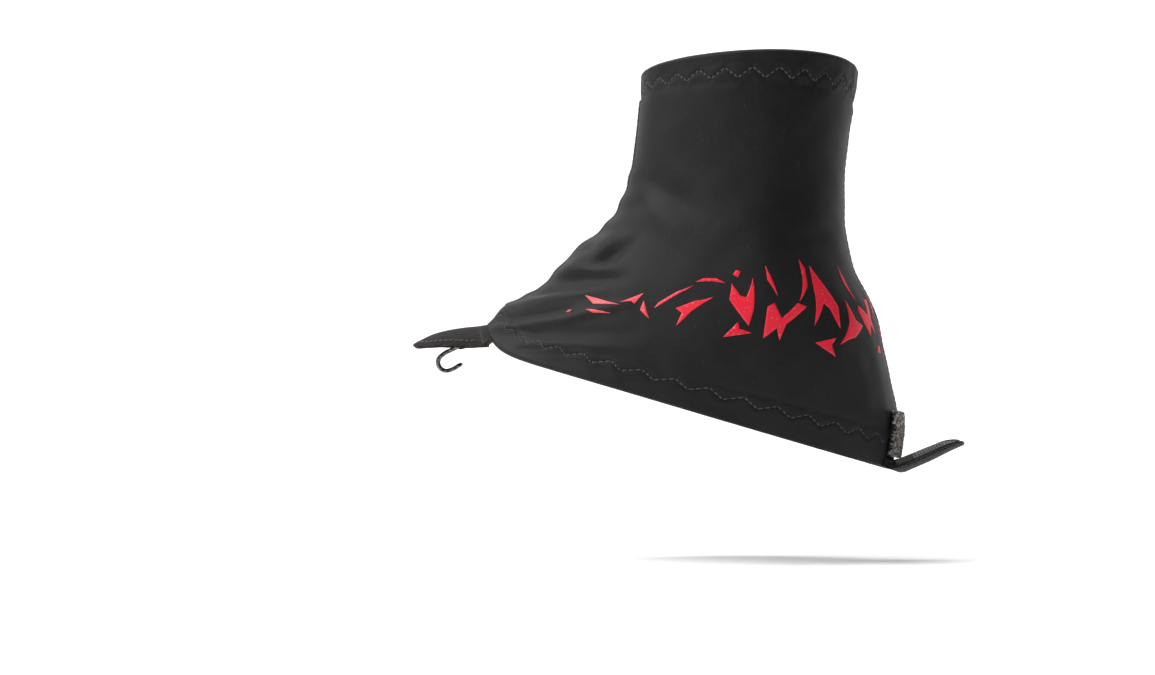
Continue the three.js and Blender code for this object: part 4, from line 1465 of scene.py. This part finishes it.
def strip_grid(start, inset, rows=56, columns=41):
    """x and y over the strip, close together at the round end, and how near each point is to an edge."""
    end = HEEL_TAB["length"] - inset
    share = np.linspace(0, 1, rows) ** 0.75
    x = (start + (end - start - 0.02) * share)[:, None]
    across = np.sin(np.linspace(-1, 1, columns) * np.pi / 2)[None, :]
    y = tab_half_width(x, inset) * across
    near_end = np.maximum(np.clip((x - end + 2.5) / 2.5, 0, 1), np.clip((start + 1.6 - x) / 1.6, 0, 1))
    edge = np.maximum(np.abs(across) * np.ones_like(x), near_end * np.ones_like(across))
    return x * np.ones_like(across), y, edge


def strip_bend(x, y):
    """The strip's edges are drawn up round the heel, and it is not quite even."""
    x, y = np.broadcast_arrays(x, y)
    swell = 0.07 * ripple(np.stack([x, y, x * 0], -1), 15, 44)
    return HEEL_TAB["arch"] * y**2 - 0.25 * np.sin(x / 30 * np.pi) + swell


def build_strip(name, node, start, inset, low, high, material, slot):
    x, y, edge = strip_grid(start, inset)
    round_off = (1 - np.clip(edge, 0, 1) ** 12) ** 0.5
    half = (high - low) / 2 * (0.3 + 0.7 * round_off)
    middle = (low + high) / 2 + strip_bend(x, y)
    front = on_heel_tab(np.stack([x, y, middle + half], -1))
    back = on_heel_tab(np.stack([x, y, middle - half], -1))
    strip = shell_piece(name, front, back, np.stack([y, x], -1), material, "heel_tab", slot)
    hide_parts(node)
    return strip


pull_strip = build_strip("pull_tab_strip", "heel_tab", 0.8, 0.0, -STRIP, 0.0, webbing, "webbing")
pull_pad = build_strip(
    "pull_tab_pad_base", "heel_tab_hook_pad", 9.0, 2.0, 0.05, 0.55, hook_plastic, "hook_tape"
)
print(pull_strip.name, pull_pad.name)


# %% Hooks of the hook tape
HOOK_HEIGHT = 0.95


def build_hooks(name, bases, ups, ways, body):
    """Small nylon crooks in rows, each a bent stem that thins towards its tip."""
    bend = np.array([(0.0, 0.0), (0.0, 0.45), (0.03, 0.78), (0.20, 0.98), (0.42, 0.92), (0.50, 0.72)])
    width = np.array([0.17, 0.14, 0.13, 0.12, 0.10, 0.05])
    rights = np.cross(ups, ways)
    along, up = (bend[None, :, k, None] * HOOK_HEIGHT for k in range(2))
    middle = bases[:, None] + ways[:, None] * along + ups[:, None] * up
    sides = np.linspace(0, 2 * np.pi, 5, endpoint=False)
    tangent = unit(np.gradient(bend, axis=0))
    across = ways[:, None] * -tangent[None, :, 1, None] + ups[:, None] * tangent[None, :, 0, None]
    circle = rights[:, None, None] * np.cos(sides)[:, None] + across[:, :, None] * np.sin(sides)[:, None]
    points = middle[:, :, None] + circle * width[None, :, None, None]
    index = np.arange(points.size // 3).reshape(points.shape[:3])
    turned = np.roll(index, -1, 2)
    quads = np.stack([index[:, :-1], index[:, 1:], turned[:, 1:], turned[:, :-1]], -1).reshape(-1, 4)
    caps = [*index[:, 0].tolist(), *index[:, -1, ::-1].tolist()]
    return make_piece(name, points.reshape(-1, 3), [*quads.tolist(), *caps], hook_plastic, body, "hook_tape")


def build_pad_hooks():
    spacing = 1.25
    rows = np.arange(10.2, HEEL_TAB["length"] - 3.2, spacing)
    places = [(x, y) for x in rows for y in np.arange(-14, 14, spacing) if abs(y) < tab_half_width(x, 3.0)]
    x, y = np.array(places).T
    base = on_heel_tab(np.stack([x, y, 0.5 + strip_bend(x, y)], -1))
    origin = on_heel_tab(np.zeros(3))
    ups = unit(on_heel_tab(np.stack([0 * x, -2 * HEEL_TAB["arch"] * y, 1 + 0 * x], -1)) - origin)
    ways = np.broadcast_to(on_heel_tab(np.array([1.0, 0, 0])) - origin, ups.shape)
    ways = unit(ways - ups * (ways * ups).sum(-1, keepdims=True))
    ways = np.where((np.arange(len(x)) % 2 == 0)[:, None], ways, -ways)
    build_hooks("pull_tab_hooks", base, ups, ways, "heel_tab")
    return len(x)


print("pull tab:", build_pad_hooks(), "hooks")


# %% Stitching and root of the pull tab
def build_pull_stitching():
    inset = 1.7
    end = HEEL_TAB["length"] - inset
    x = np.concatenate([np.linspace(2.5, end - 0.3, 60), np.linspace(end - 0.3, 2.5, 60)])
    sign = np.repeat([1, -1], 60)
    y = sign * tab_half_width(x, inset)
    z = strip_bend(x, y) - STRIP - 0.02
    holes = spaced_along(np.stack([x, y, z], -1), 2.4)
    ways = unit(holes[1:] - holes[:-1])
    origin = on_heel_tab(np.zeros(3))
    down = on_heel_tab(np.array([0, 0, -1.0])) - origin
    stitches = build_stitches(
        "pull_tab_stitching", on_heel_tab(holes[:-1] + ways * 0.25), on_heel_tab(holes[1:] - ways * 0.25),
        np.broadcast_to(down, (len(holes) - 1, 3)), "heel_tab", radius=0.27, arch=0.34,
    )
    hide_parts("heel_tab_stitch")
    return len(holes) - 1


def build_anchor():
    """The sewn root of the pull tab: a doubled strip across the bottom of the heel."""
    a = np.linspace(-1, 1, 61)[:, None]
    b = np.linspace(0, 1, 21)[None, :]
    y = a * HEEL_TAB["half_width"] * np.ones_like(b)
    up = 0.3 + 5.2 * b * np.ones_like(a)
    edge = np.maximum(np.abs(a) ** 20 * np.ones_like(b), np.abs(2 * b - 1) ** 12 * np.ones_like(a))
    thick = (2.4 - 1.3 * b) * (0.3 + 0.7 * np.sqrt(1 - edge))
    front = on_heel(y, up, CLOTH + GAP + thick)
    back = on_heel(y, up, CLOTH - 0.2 + 0 * y)
    anchor = shell_piece("pull_tab_anchor", front, back, np.stack([y, up], -1), webbing, "sleeve", "webbing")
    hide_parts("heel_tab_anchor")
    for row in (1.4, 4.2):
        marks = np.arange(-14.5, 14.6, 2.3)
        level = np.full(len(marks), row)
        spots = on_heel(marks, level, CLOTH + GAP + (2.4 - 1.3 * (level - 0.3) / 5.2))
        far, near = (on_heel(marks, level, np.full(len(marks), offset)) for offset in (9.0, 8.0))
        normals = unit(far - near)
        ways = unit(spots[1:] - spots[:-1])
        build_stitches(f"anchor_stitch_row_{round(row)}", spots[:-1] + ways * 0.25, spots[1:] - ways * 0.25,
                       normals[:-1], "sleeve", radius=0.26, arch=0.36)
    return anchor


def build_pull_root():
    """The webbing between its sewn root and the free strip, curved between them."""
    across = np.linspace(-1, 1, 41)
    y = across * (HEEL_TAB["half_width"] - 0.2)
    sewn = on_heel(y, np.full(41, 0.9), np.full(41, CLOTH + GAP + 1.6))
    free = on_heel_tab(np.stack([np.full(41, 3.0), y, strip_bend(3.0, y) - STRIP / 2], -1))
    below = sewn + [0.2, 0, -2.0]
    before = 2 * free - on_heel_tab(np.stack([np.full(41, 5.0), y, strip_bend(5.0, y) - STRIP / 2], -1))
    way = np.linspace(0, 1, 19)[:, None, None]
    middle = (1 - way) ** 3 * sewn + 3 * way * (1 - way) ** 2 * below
    middle = middle + 3 * way**2 * (1 - way) * before + way**3 * free
    normal = unit(np.cross(np.gradient(middle, axis=0), np.gradient(middle, axis=1)))
    front, back = middle + normal * 0.55, middle - normal * 0.55
    flat = grid_lengths(middle)[..., ::-1]
    root = shell_piece("pull_tab_bend", front, back, flat, webbing, None, "webbing")
    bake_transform(root)
    return root


print("pull tab:", build_pull_stitching(), "stitches,", build_anchor().name, build_pull_root().name)

# %% [markdown]
# ## Inside the hem and cuff
#
# Two patches of hook tape grip the shoe from inside the hem, and a blank label is sewn into the cuff. The
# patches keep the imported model's flat shape, with real hooks and stitches on them, and the label hangs
# from the facing.


# %% Side patches
def flat_frame(node):
    """The middle, long way, short way and inward normal of a flat patch, from its own mesh."""
    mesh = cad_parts[node].data
    points = np.array([v.co for v in mesh.vertices]) / MM
    middle = (points.min(0) + points.max(0)) / 2
    normal = np.array(max(mesh.polygons, key=lambda p: p.area).normal)
    if normal[1] * middle[1] > 0:
        normal = -normal
    spread = points - points.mean(0)
    _, _, ways = np.linalg.svd(spread, full_matrices=False)
    long_way = unit(ways[0] - normal * (ways[0] @ normal))
    return middle, long_way, np.cross(normal, long_way), normal


def build_side_patch(side):
    node = "side_hook_patch_" + side
    middle, long_way, short_way, normal = flat_frame(node)
    a = np.sin(np.linspace(-1, 1, 49) * np.pi / 2)[:, None]
    b = np.sin(np.linspace(-1, 1, 25) * np.pi / 2)[None, :]
    corner = 1 - 0.05 * (a * b) ** 6
    x, y = 11.9 * a * corner, 4.4 * b * corner
    edge = np.maximum(np.abs(a) * np.ones_like(b), np.abs(b) * np.ones_like(a))
    top = 0.55 * (0.3 + 0.7 * (1 - edge**14) ** 0.5) - 0.2
    plane = middle + x[..., None] * long_way + y[..., None] * short_way
    front, back = plane + normal * top[..., None], plane - normal * 0.8
    flat = np.stack([x, y], -1)
    base = shell_piece("side_tape_" + side, front, back, flat, hook_plastic, "sleeve", "hook_tape")
    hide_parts(node)
    spacing = 1.25
    spots = np.array([(u, v) for u in np.arange(-9.4, 9.5, spacing) for v in np.arange(-2.5, 2.6, spacing)])
    bases = middle + spots[:, :1] * long_way + spots[:, 1:] * short_way + normal * 0.3
    ways = np.where((np.arange(len(spots)) % 2 == 0)[:, None], long_way, -long_way)
    build_hooks("side_hooks_" + side, bases, np.broadcast_to(normal, bases.shape), ways, "sleeve")
    outline = rounded_rectangle(21.8, 7.0, 1.2)
    closed = np.concatenate([outline, outline[:1]])
    ring = spaced_along(np.column_stack([closed, np.zeros(len(closed))]), 2.2)
    holes = middle + ring[:, :1] * long_way + ring[:, 1:2] * short_way + normal * 0.36
    steps = unit(holes[1:] - holes[:-1]) * 0.22
    sewing = build_stitches("side_stitching_" + side, holes[:-1] + steps, holes[1:] - steps,
                            np.broadcast_to(normal, (len(holes) - 1, 3)), "sleeve", radius=0.24, arch=0.3)
    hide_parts("side_patch_stitch_" + side)
    return len(spots), len(holes) - 1


for side in ("lateral", "medial"):
    print(side, "side patch: hooks and stitches", build_side_patch(side))


# %% Care label
def build_label():
    """A blank satin label: its top is tucked behind the facing, and its free end lifts a little."""
    low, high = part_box("care_label")
    low, high = np.array(low) / MM, np.array(high) / MM
    a = np.linspace(-1, 1, 41)[:, None]
    b = np.linspace(0, 1, 31)[None, :]
    middle_y, half = (low[1] + high[1]) / 2, 9.7
    y = middle_y + a * half * np.ones_like(b)
    height = 0.834 + 0.108 * b * np.ones_like(a)
    turn = np.pi + turn_at(y, height, True)
    lift = 0.65 + 1.8 * (1 - b) ** 2 + 0.35 * np.sin(a * 2.2 + 0.5) * (1 - b)
    front = on_cloth(turn, height, -lift)
    back = on_cloth(turn, height, -lift - 0.4)
    flat = np.stack([y, b * 20.5 * np.ones_like(a)], -1)
    label = shell_piece("blank_label", front, back, flat, satin, "sleeve", "satin")
    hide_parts("care_label")
    return label


label = build_label()
print(label.name, "is", round(mesh_area(label) / 2 * 1e6), "mm2")

# %% [markdown]
# ## Finish
#
# The last cell keeps the size of the imported model and of the finished one, so that they can be compared.

# %% Sizes
visual_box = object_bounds()
for label, corners in (("packed", cad_box), ("finished", visual_box)):
    print(label, [round((h - l) / MM, 1) for l, h in zip(*corners)], "mm")
